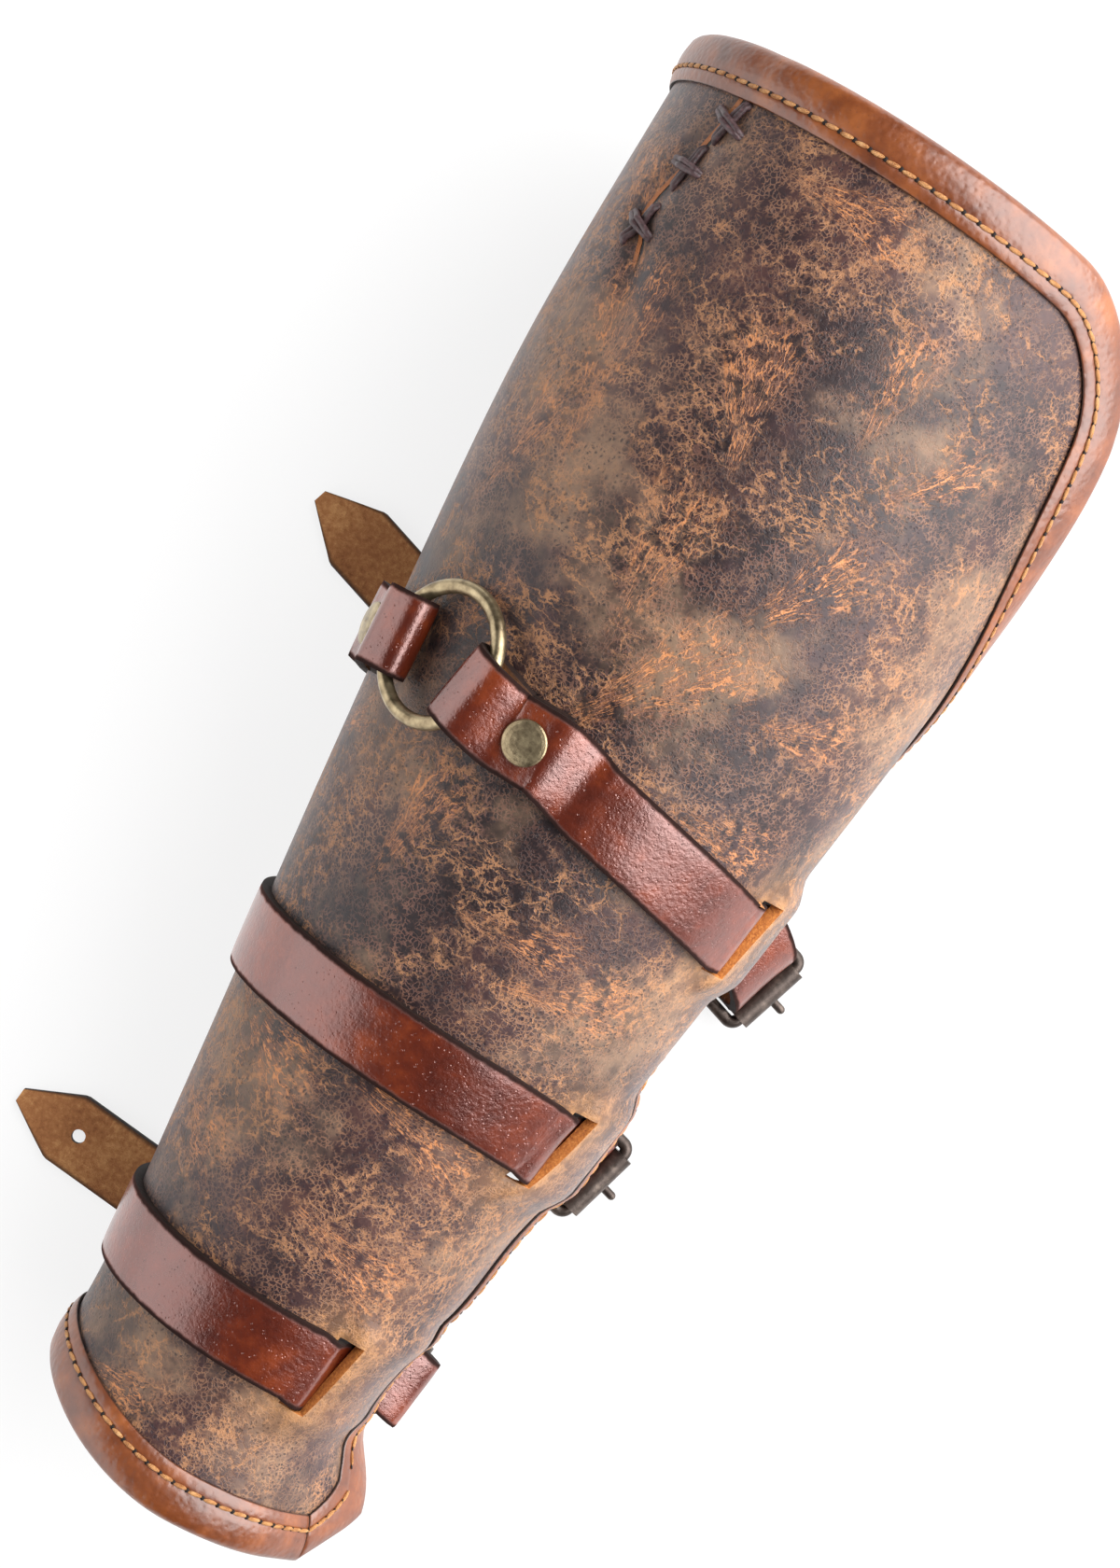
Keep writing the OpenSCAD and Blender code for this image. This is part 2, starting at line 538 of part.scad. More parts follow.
// A double cap rivet through two layers, with its foot at z = 0
module rivet(grip) {
  cap_h = 1.3;
  foot_h = 0.6;
  dome = [for (a = [0:18:90]) [cap_d / 2 * cos(a), grip + 0.4 + (cap_h - 0.4) * sin(a)]];
  color("darkkhaki")
    rotate_extrude()
      polygon(concat([[0, -foot_h], [cap_d / 2 - 0.5, -foot_h], [cap_d / 2 - 0.2, -0.05], [shank_d / 2, -0.05],
        [shank_d / 2, grip + 0.05], [cap_d / 2, grip + 0.05]], dome));
}
module fold_rivet_at(way, slant) {
  aimed(fold_flat(way, slant, fold_rivet, fold_low - half_t)[0], fold_up(way, slant)) rivet(2 * strap_t + 0.1);
}
module front_strap_rivet() { fold_rivet_at(1, front_slant); }
module side_strap_rivet() { fold_rivet_at(-1, side_slant); }
module chape_rivet(k) { translate(by_buckle(k, -rivet_back, low_z - half_t)) rivet(2 * strap_t + 0.1); }
module upper_chape_rivet() { chape_rivet(UPPER); }
module middle_chape_rivet() { chape_rivet(MIDDLE); }
module wrist_chape_rivet() { chape_rivet(WRIST); }

// Buckles, in their own frame: the heel bar on Y at the origin, the roller towards +X
frame_half = strap_w / 2 + 0.4 + wire_d / 2;
corner_bend = 1.8;
module placed(k) { translate([k[2], k[3], bar_z]) rotate([0, 0, k[4]]) children(); }
module bar(p, len, dir, d) { translate(p) rotate(dir) cylinder(d = d, h = len); }
module bend(p, a) {
  translate(p) rotate([0, 0, a])
    rotate_extrude(angle = 90) translate([corner_bend, 0]) circle(d = wire_d, $fn = 24);
}
module buckle_frame(k) {
  b = corner_bend;
  color("dimgray") placed(k) union() {
    bar([0, -frame_half + b, 0], 2 * (frame_half - b), [-90, 0, 0], wire_d);
    bar([buckle_len, -frame_half + b, 0], 2 * (frame_half - b), [-90, 0, 0], wire_d);
    for (y = [-frame_half, frame_half]) bar([b, y, 0], buckle_len - 2 * b, [0, 90, 0], wire_d);
    bend([b, -frame_half + b, 0], 180);
    bend([buckle_len - b, -frame_half + b, 0], 270);
    bend([buckle_len - b, frame_half - b, 0], 0);
    bend([b, frame_half - b, 0], 90);
  }
}
roller_len = 2 * (frame_half - corner_bend) - 0.3;
module buckle_roller(k) {
  color("gray") placed(k) translate([buckle_len, -roller_len / 2, 0]) rotate([-90, 0, 0]) difference() {
    cylinder(d = roller_d, h = roller_len);
    translate([0, 0, -1]) cylinder(d = wire_d + 2 * fit, h = roller_len + 2);
  }
}
// The prong: an eye round the heel bar in the chape's slot, and a pin under the roller
eye_w = hole_w - 0.6;
eye_d = wire_d + 2 * fit + 1.7;
module pin(len) {
  r = prong_d / 2;
  rotate_extrude()
    polygon(concat(
      [[0, 0], [r, 0]], [for (a = [0:22.5:67.5]) [r * cos(a), len + r * sin(a)]], [[0, len + r]]
    ));
}
module buckle_prong(k) {
  drop = roller_d / 2 + prong_d / 2 + 0.15;
  knee = buckle_len - prong_d;
  slant = atan2(drop, knee);
  color("dimgray") placed(k) difference() {
    union() {
      translate([0, -eye_w / 2, 0]) rotate([-90, 0, 0]) cylinder(d = eye_d, h = eye_w);
      rotate([0, 90 + slant, 0]) cylinder(d = prong_d + 0.3, h = norm([knee, drop]));
      translate([knee - 0.5, 0, -drop]) rotate([0, 90, 0]) pin(prong_d + prong_over + 0.5);
    }
    translate([0, -eye_w, 0]) rotate([-90, 0, 0]) cylinder(d = wire_d + 2 * fit, h = 2 * eye_w);
  }
}
module upper_buckle_frame() { buckle_frame(UPPER); }
module upper_buckle_roller() { buckle_roller(UPPER); }
module upper_buckle_prong() { buckle_prong(UPPER); }
module middle_buckle_frame() { buckle_frame(MIDDLE); }
module middle_buckle_roller() { buckle_roller(MIDDLE); }
module middle_buckle_prong() { buckle_prong(MIDDLE); }
module wrist_buckle_frame() { buckle_frame(WRIST); }
module wrist_buckle_roller() { buckle_roller(WRIST); }
module wrist_buckle_prong() { buckle_prong(WRIST); }

// The origin is under the middle of the whole object, on the table
tips = [for (k = [[UPPER, upper_tail], [WRIST, wrist_tail]], y = [-1, 1])
  by_buckle(k[0], -k[1], 0, y * tip_w / 2)[0]];
prong_tip = by_buckle(UPPER, buckle_len + prong_over, 0)[0] + prong_d / 2;
function fold_ys(line, side) = [for (i = [1:len(line) - 2], f = FOLD) if (f[0] < 0)
  let (p = stepped(line, i, side, f[0])) on_panel(p[0], p[1], f[1])[1]];
ends = concat(fold_ys(LONG_LINE, 1), fold_ys(WRIST_LINE, -1));
module on_table() {
  translate([-(min(tips) + prong_tip) / 2, -(min(ends) + max(ends)) / 2, 0]) children();
}

on_table() shell_panel();
on_table() side_and_elbow_binding();
on_table() wrist_binding();
on_table() dart_lacing();
on_table() upper_front_strap();
on_table() upper_side_strap();
on_table() strap_ring();
on_table() front_strap_rivet();
on_table() side_strap_rivet();
on_table() middle_strap();
on_table() wrist_strap();
on_table() upper_chape_rivet();
on_table() middle_chape_rivet();
on_table() wrist_chape_rivet();
on_table() upper_buckle_frame();
on_table() upper_buckle_roller();
on_table() upper_buckle_prong();
on_table() middle_buckle_frame();
on_table() middle_buckle_roller();
on_table() middle_buckle_prong();
on_table() wrist_buckle_frame();
on_table() wrist_buckle_roller();
on_table() wrist_buckle_prong();
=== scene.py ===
# Leather bracer lying on its back: a laced and bound panel, closed by three buckled straps.
# The sections follow the order in which a leatherworker puts it together. Sizes are in
# millimetres where the leather is laid out, and every point goes through place_on_table().
import functools
import math
from collections import namedtuple

import bmesh
import bpy
from mathutils import Matrix, Vector


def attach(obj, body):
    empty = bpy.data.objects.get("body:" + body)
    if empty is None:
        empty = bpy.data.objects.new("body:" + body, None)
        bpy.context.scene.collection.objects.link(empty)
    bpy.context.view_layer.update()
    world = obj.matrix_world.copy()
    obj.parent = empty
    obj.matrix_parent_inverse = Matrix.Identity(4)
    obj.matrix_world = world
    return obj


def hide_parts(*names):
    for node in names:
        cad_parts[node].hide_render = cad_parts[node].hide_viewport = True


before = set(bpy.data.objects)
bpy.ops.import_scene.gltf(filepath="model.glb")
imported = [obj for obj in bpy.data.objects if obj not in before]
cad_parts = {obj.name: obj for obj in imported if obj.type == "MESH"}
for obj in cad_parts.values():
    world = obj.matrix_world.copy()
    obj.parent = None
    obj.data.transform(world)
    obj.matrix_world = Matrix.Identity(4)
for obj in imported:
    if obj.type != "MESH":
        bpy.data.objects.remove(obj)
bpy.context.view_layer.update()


# Panel: one piece of waxed pull-up cowhide, 2.8 mm thick, rolled into an open tube that widens
# from the wrist to the elbow. It is cut with a knife, its six strap slots are chiselled, and wear
# has lifted the dark finish off the tan hide in clouds, grains and fine cracks.
PANEL_LEN, PANEL_T, PANEL_MID = 312.5, 2.8, -50.0
WRIST_HALF, ELBOW_HALF, HEIGHT_SHARE = 33.4, 57.4, 0.93
LEAN, TABLE_GAP = 0.075, 4.0
CORNER_R, WRIST_CHAMFER = 24.0, 12.0
STRAP_W, STRAP_T, SEAT = 17.0, 2.2, 0.2
BIND_T, BIND_W, SKIN = 1.25, 10.0, 0.25
SHIFT = Vector((8.343, -154.955, 0.0))
SPREAD = ELBOW_HALF - WRIST_HALF
# By length from the wrist: the tube's half width, and the angles of the long edges and of the dart
WIDTHS = [(0, WRIST_HALF), (30, WRIST_HALF + 0.2), (75, WRIST_HALF + 0.21 * SPREAD),
          (150, WRIST_HALF + 0.59 * SPREAD), (215, WRIST_HALF + 0.885 * SPREAD),
          (250, ELBOW_HALF - 0.4), (310, ELBOW_HALF)]
RIGHT_EDGE = [(0, 91), (14, 94), (31, 109), (50, 109), (64, 100), (80, 99.5), (104, 107), (160, 112),
              (205, 108), (235, 85.5), (265, 70), (310, 57)]
LEFT_EDGE = [(0, -179), (20, -176), (41, -172), (104, -185), (160, -191), (205, -191), (235, -185.5),
             (265, -170), (310, -157)]
DART = [(235, -43), (256, -47), (269, -52.4), (275, -56.9), (288.4, -51.6), (300.7, -47), (316, -44)]
DART_DEPTH, LIFT = 1.8, 2.6
ELBOW_BOW, BOW_ANGLE, WRIST_BASE, WRIST_SLANT = 4.5, 85, 0.5, 11.0
# Each strap: the lengths of its right and left slot, its heel bar's x and y, its buckle's turn in degrees,
# and how far the right slot lies in from the right edge
Strap = namedtuple("Strap", "right left bar_x bar_y turned inset")
UPPER = Strap(160.7, 169, 48.1, 154.5, -17, 38.9)
MIDDLE = Strap(104.4, 112, 37.1, 99.1, -15, 37.1)
WRIST = Strap(40.6, 43.5, 22, 38.5, -4.5, 45)
STRAPS = (WRIST, MIDDLE, UPPER)
RIGHT_SLOT_W, LEFT_SLOT, SLOT_HALF = 5.5, (21.0, 29.8), STRAP_W / 2 + 0.6
RIGHT_IN_END = 235
RIGHT_IN = [(0, WRIST.inset)] + [(k.right, k.inset) for k in STRAPS] + [(RIGHT_IN_END, LEFT_SLOT[0])]
# How far the wrist strap pulls the right flank in
PULL = [(0, 0), (14, 0), (28, 5), (44, 5), (60, 1.25), (80, 1), (94, 0), (PANEL_LEN, 0)]


def place_on_table(p):
    """From the layout's millimetres to the shared frame's metres."""
    return (Vector(p) + SHIFT) / 1000


def along(stations, x):
    """A smooth curve through (place, value) stations."""
    i = 0
    while i < len(stations) - 2 and x > stations[i + 1][0]:
        i += 1

    def slope(k):
        a, b = stations[max(k - 1, 0)], stations[min(k + 1, len(stations) - 1)]
        return (b[1] - a[1]) / (b[0] - a[0])
    h = stations[i + 1][0] - stations[i][0]
    u = (x - stations[i][0]) / h
    return ((2 * u**3 - 3 * u**2 + 1) * stations[i][1] + (u**3 - 2 * u**2 + u) * h * slope(i)
            + (3 * u**2 - 2 * u**3) * stations[i + 1][1] + (u**3 - u**2) * h * slope(i + 1))


def ease(a, b, x):
    """0 at a, 1 at b, smooth between."""
    u = min(max((x - a) / (b - a), 0.0), 1.0)
    return u * u * (3 - 2 * u)


@functools.cache
def half_w(s):
    return along(WIDTHS, s)


@functools.cache
def right_edge(s):
    return along(RIGHT_EDGE, s)


@functools.cache
def left_edge(s):
    return along(LEFT_EDGE, s)


@functools.cache
def right_in(s):
    """How far in from the right edge a slot would lie at length s."""
    return along(RIGHT_IN, min(s, RIGHT_IN_END))


def turn(length, s):
    """The angle round the tube that a length of leather covers."""
    return math.degrees(length / half_w(s))


def bridge(s, d):
    """How far a strap below lifts the leather between slot and right edge, d in from that edge."""
    near = max(1 - ease(SLOT_HALF, SLOT_HALF + 8, abs(s - k.right)) for k in STRAPS)
    return LIFT * (1 - ease(right_in(s), right_in(s) + RIGHT_SLOT_W, d)) * near


def dart_off(s, th):
    """Distance across the leather from the dart's line."""
    return math.radians(th - along(DART, s)) * half_w(s)


def on_tube(s, th, up=0.0):
    """A point of the tube at length s from the wrist, th degrees from the top, up over its surface."""
    a = half_w(s)
    b = HEIGHT_SHARE * a
    flank = 100 - 58 * ease(200, 285, s) - 45 * ease(40, 8, s)  # past this angle the side runs straight
    t = math.radians(min(th, flank))
    n = Vector((b * math.sin(t), a * math.cos(t))).normalized()
    run = math.radians(max(th - flank, 0)) * a
    pull = along(PULL, s) * ease(15, 80, math.degrees(t))
    x = (a - pull) * math.sin(t) + n[1] * run + n[0] * up
    z = b * math.cos(t) - n[0] * run + n[1] * up
    return Vector((x, s - LEAN * z, TABLE_GAP + b + z))


def on_panel(s, th, up=0.0):
    """The same with the bridges lifted and the leather sunk along the dart."""
    depth = DART_DEPTH * ease(232, 268, s) * (1 - 0.75 * ease(285, 308, s))
    valley = -depth * math.exp(-dart_off(s, th) ** 2 / 18)
    return on_tube(s, th, up + bridge(s, math.radians(right_edge(s) - th) * half_w(s)) + valley)


def steps(a, b, n):
    """From a to b in n equal steps, both ends included."""
    return [a + (b - a) * i / n for i in range(n + 1)]


# The panel's grid: columns lie at set distances from both long edges, and rows meet the slots' ends
RIM = steps(0, 3, 6) + steps(3, WRIST_CHAMFER, 8)[1:]


@functools.cache
def right_cols(s):
    """Distances of the columns in from the right edge."""
    a, b = right_in(s), right_in(s) + RIGHT_SLOT_W
    return RIM + steps(WRIST_CHAMFER, a, 18)[1:] + steps(a, b, 6)[1:] + [b + 1.5]


LEFT_COLS = (RIM + steps(WRIST_CHAMFER, LEFT_SLOT[0], 8)[1:] + steps(*LEFT_SLOT, 8)[1:]
             + [LEFT_SLOT[1] + 1.5])
RIGHT_COUNT = len(right_cols(0))
MIDDLE_COLS = 118
COLS = RIGHT_COUNT + MIDDLE_COLS - 1 + len(LEFT_COLS)
WRIST_ROWS, ELBOW_ROWS, ROW_PITCH = 27.0, 230.0, 1.7
marks = [0, WRIST_ROWS]
for k in STRAPS:
    marks += sorted((k.right - SLOT_HALF, k.left - SLOT_HALF, k.right + SLOT_HALF, k.left + SLOT_HALF))
marks += [ELBOW_ROWS, PANEL_LEN]
ROWS = [0.0]
for a, b in zip(marks, marks[1:]):
    ROWS += steps(a, b, max(1, round((b - a) / ROW_PITCH)))[1:]


@functools.cache
def column(j, s):
    """Angle of column j at length s, and its distance in from the nearer long edge, 99 past the slots."""
    r, l = RIGHT_COUNT - 1, COLS - len(LEFT_COLS)
    if j <= r:
        d = right_cols(s)[j]
        return right_edge(s) - turn(d, s), d
    if j >= l:
        d = LEFT_COLS[COLS - 1 - j]
        return left_edge(s) + turn(d, s), d
    u = (j - r) / (l - r)
    return (1 - u) * column(r, s)[0] + u * column(l, s)[0], 99.0


@functools.cache
def cell(row, j):
    """Length and angle of a point of the panel: its ends spread out to the cut outline."""
    th, d = column(j, min(row, PANEL_LEN))
    elbow = PANEL_LEN - ELBOW_BOW * ((th - PANEL_MID) / BOW_ANGLE) ** 2
    if d < CORNER_R:
        elbow -= CORNER_R - math.sqrt(CORNER_R**2 - (CORNER_R - d) ** 2)
    wrist = WRIST_BASE + WRIST_SLANT * ease(10, -100, th) + max(WRIST_CHAMFER - d, 0)
    s = row
    if row > ELBOW_ROWS:
        s = ELBOW_ROWS + (row - ELBOW_ROWS) / (PANEL_LEN - ELBOW_ROWS) * (elbow - ELBOW_ROWS)
    elif row < WRIST_ROWS:
        s = WRIST_ROWS - (WRIST_ROWS - row) / WRIST_ROWS * (WRIST_ROWS - wrist)
    return s, column(j, s)[0]


def distances(points):
    """How far along a line each of its points lies."""
    at = [0.0]
    for a, b in zip(points, points[1:]):
        at.append(at[-1] + (b - a).length)
    return at


def add(name, data):
    piece = bpy.data.objects.new(name, data)
    bpy.context.scene.collection.objects.link(piece)
    return piece


def add_mesh(name, bm):
    mesh = bpy.data.meshes.new(name)
    bm.to_mesh(mesh)
    bm.free()
    return add(name, mesh)


def bent_leather(name, rows, cols, place, drop=None, notes={}):
    """A flat rectangular grid of leather, grain side up and columns from right to left, with its UV map,
    bent to its shape by place(row, column). Notes are attributes for its finish, given the same way."""
    bm = bmesh.new()
    bmesh.ops.create_grid(bm, x_segments=cols - 1, y_segments=rows - 1, size=1, calc_uvs=True)
    uv = bm.loops.layers.uv.verify()
    layers = {key: bm.verts.layers.float_vector.new(key) for key in notes}
    index = {}
    for v in bm.verts:
        index[v] = (round((v.co.y + 1) / 2 * (rows - 1)), round((1 - v.co.x) / 2 * (cols - 1)))
    for f in bm.faces:
        for l in f.loops:
            l[uv].uv = (index[l.vert][1] / (cols - 1), index[l.vert][0] / (rows - 1))
        f.smooth = True
    if drop:
        gone = [f for f in bm.faces if drop(*(min(index[v][axis] for v in f.verts) for axis in (0, 1)))]
        bmesh.ops.delete(bm, geom=gone, context="FACES")
    for v in bm.verts:
        for key, layer in layers.items():
            v[layer] = notes[key](*index[v])
        v.co = place_on_table(place(*index[v]))
    return add_mesh(name, bm)


def thicken(piece, thickness, round_edge, faces):
    """Gives a sheet its thickness, its grain, flesh and edge finishes, and worn corners."""
    for m in faces:
        piece.data.materials.append(m)
    solid = piece.modifiers.new("thickness", "SOLIDIFY")
    solid.thickness, solid.offset, solid.use_even_offset = thickness / 1000, -1, False
    solid.material_offset, solid.material_offset_rim = 1, 2
    if round_edge:
        bevel = piece.modifiers.new("worn edge", "BEVEL")
        bevel.width, bevel.segments, bevel.limit_method, bevel.angle_limit = round_edge / 1000, 2, "ANGLE", 0.9


def colour(code):
    """A colour as it is seen, such as 4a3430, in the shader's own linear values."""
    parts = [int(code[i:i + 2], 16) / 255 for i in (0, 2, 4)]
    return tuple(c / 12.92 if c <= 0.04045 else ((c + 0.055) / 1.055) ** 2.4 for c in parts) + (1.0,)


class Wire:
    """An output socket of a material. Sums and products of wires add Math nodes."""

    def __init__(self, tree, out=None):
        self.tree, self.out = tree, out

    def node(self, kind, values=(), pick=0, stops=None, **settings):
        n = self.tree.nodes.new("ShaderNode" + kind)
        for key, value in settings.items():
            setattr(n, key, value)
        if stops:
            while len(n.color_ramp.elements) < len(stops):
                n.color_ramp.elements.new(0.5)
            for element, (place, shade) in zip(n.color_ramp.elements, stops):
                element.position, element.color = place, colour(shade)
        for key, value in (values.items() if isinstance(values, dict) else enumerate(values)):
            if isinstance(value, Wire):
                self.tree.links.new(value.out, n.inputs[key])
            elif value is not None:
                n.inputs[key].default_value = value
        return Wire(self.tree, n.outputs[pick])

    def math(self, operation, *values):
        return self.node("Math", values, operation=operation)

    def __add__(self, other):
        return self.math("ADD", self, other)

    def __sub__(self, other):
        return self.math("SUBTRACT", self, other)

    def __rsub__(self, other):
        return self.math("SUBTRACT", other, self)

    def __mul__(self, other):
        return self.math("MULTIPLY", self, other)

    __radd__, __rmul__ = __add__, __mul__

    def step(self, low, high):
        """0 below low, 1 above high, smooth between; low may be the larger."""
        return self.node("MapRange", {0: self, 1: low, 2: high, 3: 0.0, 4: 1.0},
                         interpolation_type="SMOOTHSTEP")

    def away(self, value):
        """How far off the value, to either side."""
        off = self - value
        return off.math("ABSOLUTE", off)

    def most(self, other):
        return self.math("MAXIMUM", self, other)

    def ridge(self, width):
        """1 along the thin lines where a noise passes its middle value."""
        return self.away(0.5).step(width, width * 0.3)

    def scaled(self, *sizes):
        return self.node("VectorMath", (self, sizes), operation="MULTIPLY")

    def moved(self, other):
        return self.node("VectorMath", (self, other), operation="ADD")

    def noise(self, scale, detail=4.0, rough=0.55, pick=0):
        return self.node("TexNoise", {"Vector": self, "Scale": scale, "Detail": detail, "Roughness": rough},
                         pick)

    def cracks(self, scale, feature="DISTANCE_TO_EDGE"):
        return self.node("TexVoronoi", {"Vector": self, "Scale": scale}, feature=feature)

    def mixed(self, factor, shade):
        shade = colour(shade) if isinstance(shade, str) else shade
        return self.node("Mix", {0: factor, 6: self, 7: shade}, 2, data_type="RGBA", clamp_factor=True)

    def ramp(self, *stops):
        return self.node("ValToRGB", (self,), stops=stops)


def finish(name, build, **constants):
    """A material: build(object coordinates, UV) gives what its sockets are fed, and its height in mm."""
    material = bpy.data.materials.new(name)
    material.use_nodes = True
    tree = material.node_tree
    shader = next(n for n in tree.nodes if n.type == "BSDF_PRINCIPLED")
    for key, value in constants.items():
        shader.inputs[key.replace("_", " ")].default_value = value
    start = Wire(tree)
    here = start.node("TexCoord", pick=3)
    uv = start.node("TexCoord", pick=2)
    parts = build(here, uv)
    for socket, wire in parts.items():
        if socket == "height":
            bump = start.node("Bump", {"Height": wire, "Distance": 0.001, "Strength": 1.0})
            tree.links.new(bump.out, shader.inputs["Normal"])
        elif isinstance(wire, Wire):
            tree.links.new(wire.out, shader.inputs[socket])
        else:
            shader.inputs[socket].default_value = wire
    return material


def panel_grain(here, uv):
    cloud, mottle = here.noise(17, 4, 0.6), here.noise(75, 6, 0.68)
    elsewhere = here.moved((0.31, 0.12, 0.7))
    dust = elsewhere.noise(26, 5, 0.66)
    # wear: the listed patches, which paint the panel lighter (above 0) or darker and raise or lower its dust
    # and thick cracks with it
    wear = here.node("Attribute", pick=2, attribute_name="worn")
    tone = cloud * 0.45 + mottle * 0.38 + 0.085 + wear * 0.15
    base = tone.ramp((0.4, "1a1013"), (0.47, "281a1c"), (0.53, "382324"), (0.59, "4c312c"), (0.68, "6f4e3f"))
    # Dusty clouds, a fine net of pores between thin pale lines, and looser cracks that run round the arm
    dusty = (dust + wear * 0.1).step(0.48, 0.64) * (0.4 + mottle.step(0.4, 0.6) * 0.6)
    base = base.mixed(dusty * 0.6, "8c7058")
    gaps, knots = here.noise(330, 4, 0.6), here.noise(55, 4, 0.65)
    bent = here.moved(here.noise(420, 3, 0.6, pick=1).scaled(0.0022, 0.0022, 0.0022))
    net = bent.cracks(1000).step(0.15, 0.04) * gaps.step(0.36, 0.54)
    thick = (elsewhere.noise(42, 5, 0.6) + wear * 0.12).step(0.36, 0.62)
    pale = tone.ramp((0.42, "755044"), (0.55, "9a7052"), (0.7, "b48f66"))
    base = base.mixed(net * (0.2 + thick * 0.45), pale)
    swirl = here.moved(here.noise(20, 2, 0.5, pick=1).scaled(0.03, 0.03, 0.03))
    lay = swirl.node("VectorRotate", {"Vector": swirl, "Angle": 0.3}, rotation_type="Z_AXIS")
    lay = lay.scaled(0.45, 1.0, 1.0)
    looser = lay.moved(here.noise(190, 4, 0.7, pick=1).scaled(0.004, 0.006, 0.006))
    hairs = looser.cracks(230).step(0.05, 0.015) * knots.step(0.44, 0.56)
    smaller = looser.moved((0.2, 0.2, 0.2)).cracks(460).step(0.085, 0.03) * knots.step(0.5, 0.62)
    hairs = hairs.most(smaller)
    base = base.mixed(hairs * (0.15 + gaps.step(0.38, 0.54) * 0.5), "a8764f")
    # Creases: lines that run along each fan and spread at its ends
    crease = here.node("Attribute", pick=1, attribute_name="crease")
    strength = crease.node("SeparateXYZ", (crease,), 2)
    flow = crease.scaled(0.13, 1.0, 0.0).moved(here.noise(260, 4, 0.65, pick=1).scaled(0.0, 2.4, 0.0))
    lines = flow.noise(0.55, 1, 0.5).ridge(0.018)
    finer = flow.scaled(1.7, 1.0, 1.0).moved((7, 3, 1)).noise(1.0, 1, 0.5).ridge(0.03)
    lines = lines.most(finer * 0.8) * strength.step(0.05, 0.6) * gaps.step(0.36, 0.5)
    base = base.mixed(strength * gaps.step(0.4, 0.6) * 0.28, "84523a").mixed(lines * 0.85, "bb7a4a")
    pores = bent.cracks(1000, "F1").step(0.36, 0.16) * here.noise(120, 3, 0.6).step(0.38, 0.56)
    base = base.mixed(pores * 0.7, "20161a")
    # Rubbing beside the slots, the dart's slit painted near black as painted shade in its gap, and its raw lip
    dart = here.node("Attribute", pick=1, attribute_name="dart")
    off, reach, rubbed = (dart.node("SeparateXYZ", (dart,), i) for i in range(3))
    base = base.mixed(rubbed * (0.45 + gaps.step(0.4, 0.6) * 0.4), "a97a4e")
    # cut: painted shade of the open slit, a near-black line along the dart
    cut = off.away(0.0).step(0.55, 0.3) * reach
    lip = off.away(-1.1).step(0.75, 0.5) * reach
    base = base.mixed(lip * 0.9, "a5602c").mixed(cut, "120b0a")
    height = mottle * 0.3 - pores * 0.06 - hairs * 0.05 - net * 0.04 - lines * 0.06 - cut * 0.8
    return {"Base Color": base, "Roughness": 0.46 + hairs * 0.14 + dusty * 0.12, "height": height}


def raw_edge(here, uv):
    fibre = here.noise(1500, 4, 0.7)
    return {"Base Color": fibre.ramp((0.3, "8a4c22"), (0.55, "b8702f"), (0.75, "d09250")), "Roughness": 0.85,
            "height": fibre * 0.25}


def flesh_side(here, uv):
    nap = here.noise(900, 5, 0.75)
    tone = here.noise(30, 4, 0.6) * 0.5 + nap * 0.5
    return {"Base Color": tone.ramp((0.35, "5b3a22"), (0.5, "7a5130"), (0.68, "9a6c42")), "Roughness": 0.9,
            "height": nap * 0.25}


def in_slot(i, j):
    """Whether the panel's face at row i and column j is cut away for a strap."""
    s = (ROWS[i] + ROWS[i + 1]) / 2
    right = 2 <= RIGHT_COUNT - 1 - j < 8
    left = 1 <= j - (COLS - len(LEFT_COLS)) < 9
    return any(right and abs(s - k.right) < SLOT_HALF or left and abs(s - k.left) < SLOT_HALF
               for k in STRAPS)


# Creases where the hide was bent and the finish broke: length, angle, heading, half length and strength.
# The last four are on the hidden side.
CREASES = [(196, 2.8, 51, 22, 1.0), (225, 19, 56, 20, 0.6), (252, -10, 106, 18, 0.9), (217, -10, 90, 22, 0.5),
           (246, -43, 101, 24, 1.0), (148, -31, 78, 16, 0.9), (134, 27, 14, 16, 1.0), (202, 38, 14, 16, 0.6),
           (95, -43, -18, 18, 0.9), (96, 12, -9, 20, 0.8), (65, 15, -17, 18, 0.7), (293, -12, -2, 16, 0.8),
           (158, -71, 20, 12, 0.5), (140, 8.4, 5, 16, 0.5), (192, -40, 56, 10, 0.5), (268, 13, 91, 16, 0.5),
           (177, 37, 2, 18, 0.6), (71, -56, -19, 16, 0.6), (275, -60, 110, 18, 0.6), (17, -34, 4, 12, 0.6),
           (258, 32, 46, 16, 0.5), (224, -54, 67, 18, 0.6), (235, -100, 80, 24, 0.7),
           (150, -110, 30, 22, 0.7), (60, -110, 20, 20, 0.7), (190, -140, 70, 22, 0.7)]


def crease(i, j):
    """Place along and across the nearest crease, which fans out at both ends, and how strong it is."""
    s, th = cell(ROWS[i], j)
    found = [(0.0, 0.0, 0.0)]
    for k, (s0, th0, heading, reach, strength) in enumerate(CREASES):
        step_in = Vector((math.radians(th - th0) * half_w(s0), s - s0))
        if step_in.length < 1.3 * reach:
            way = Vector((math.cos(math.radians(heading)), math.sin(math.radians(heading))))
            u, v = step_in.dot(way), way.cross(step_in)
            v /= 0.35 + 1.2 * ease(-0.7, 1.1, u / reach)
            fade = strength * (1 - ease(0.3, 1.25, abs(u) / reach)) * (1 - ease(0.1, 0.5, abs(v) / reach))
            found.append((fade, u + 200 * k, v))
    found.sort(reverse=True)
    return found[0][1], found[0][2], found[0][0] - (found[1][0] if len(found) > 1 else 0)
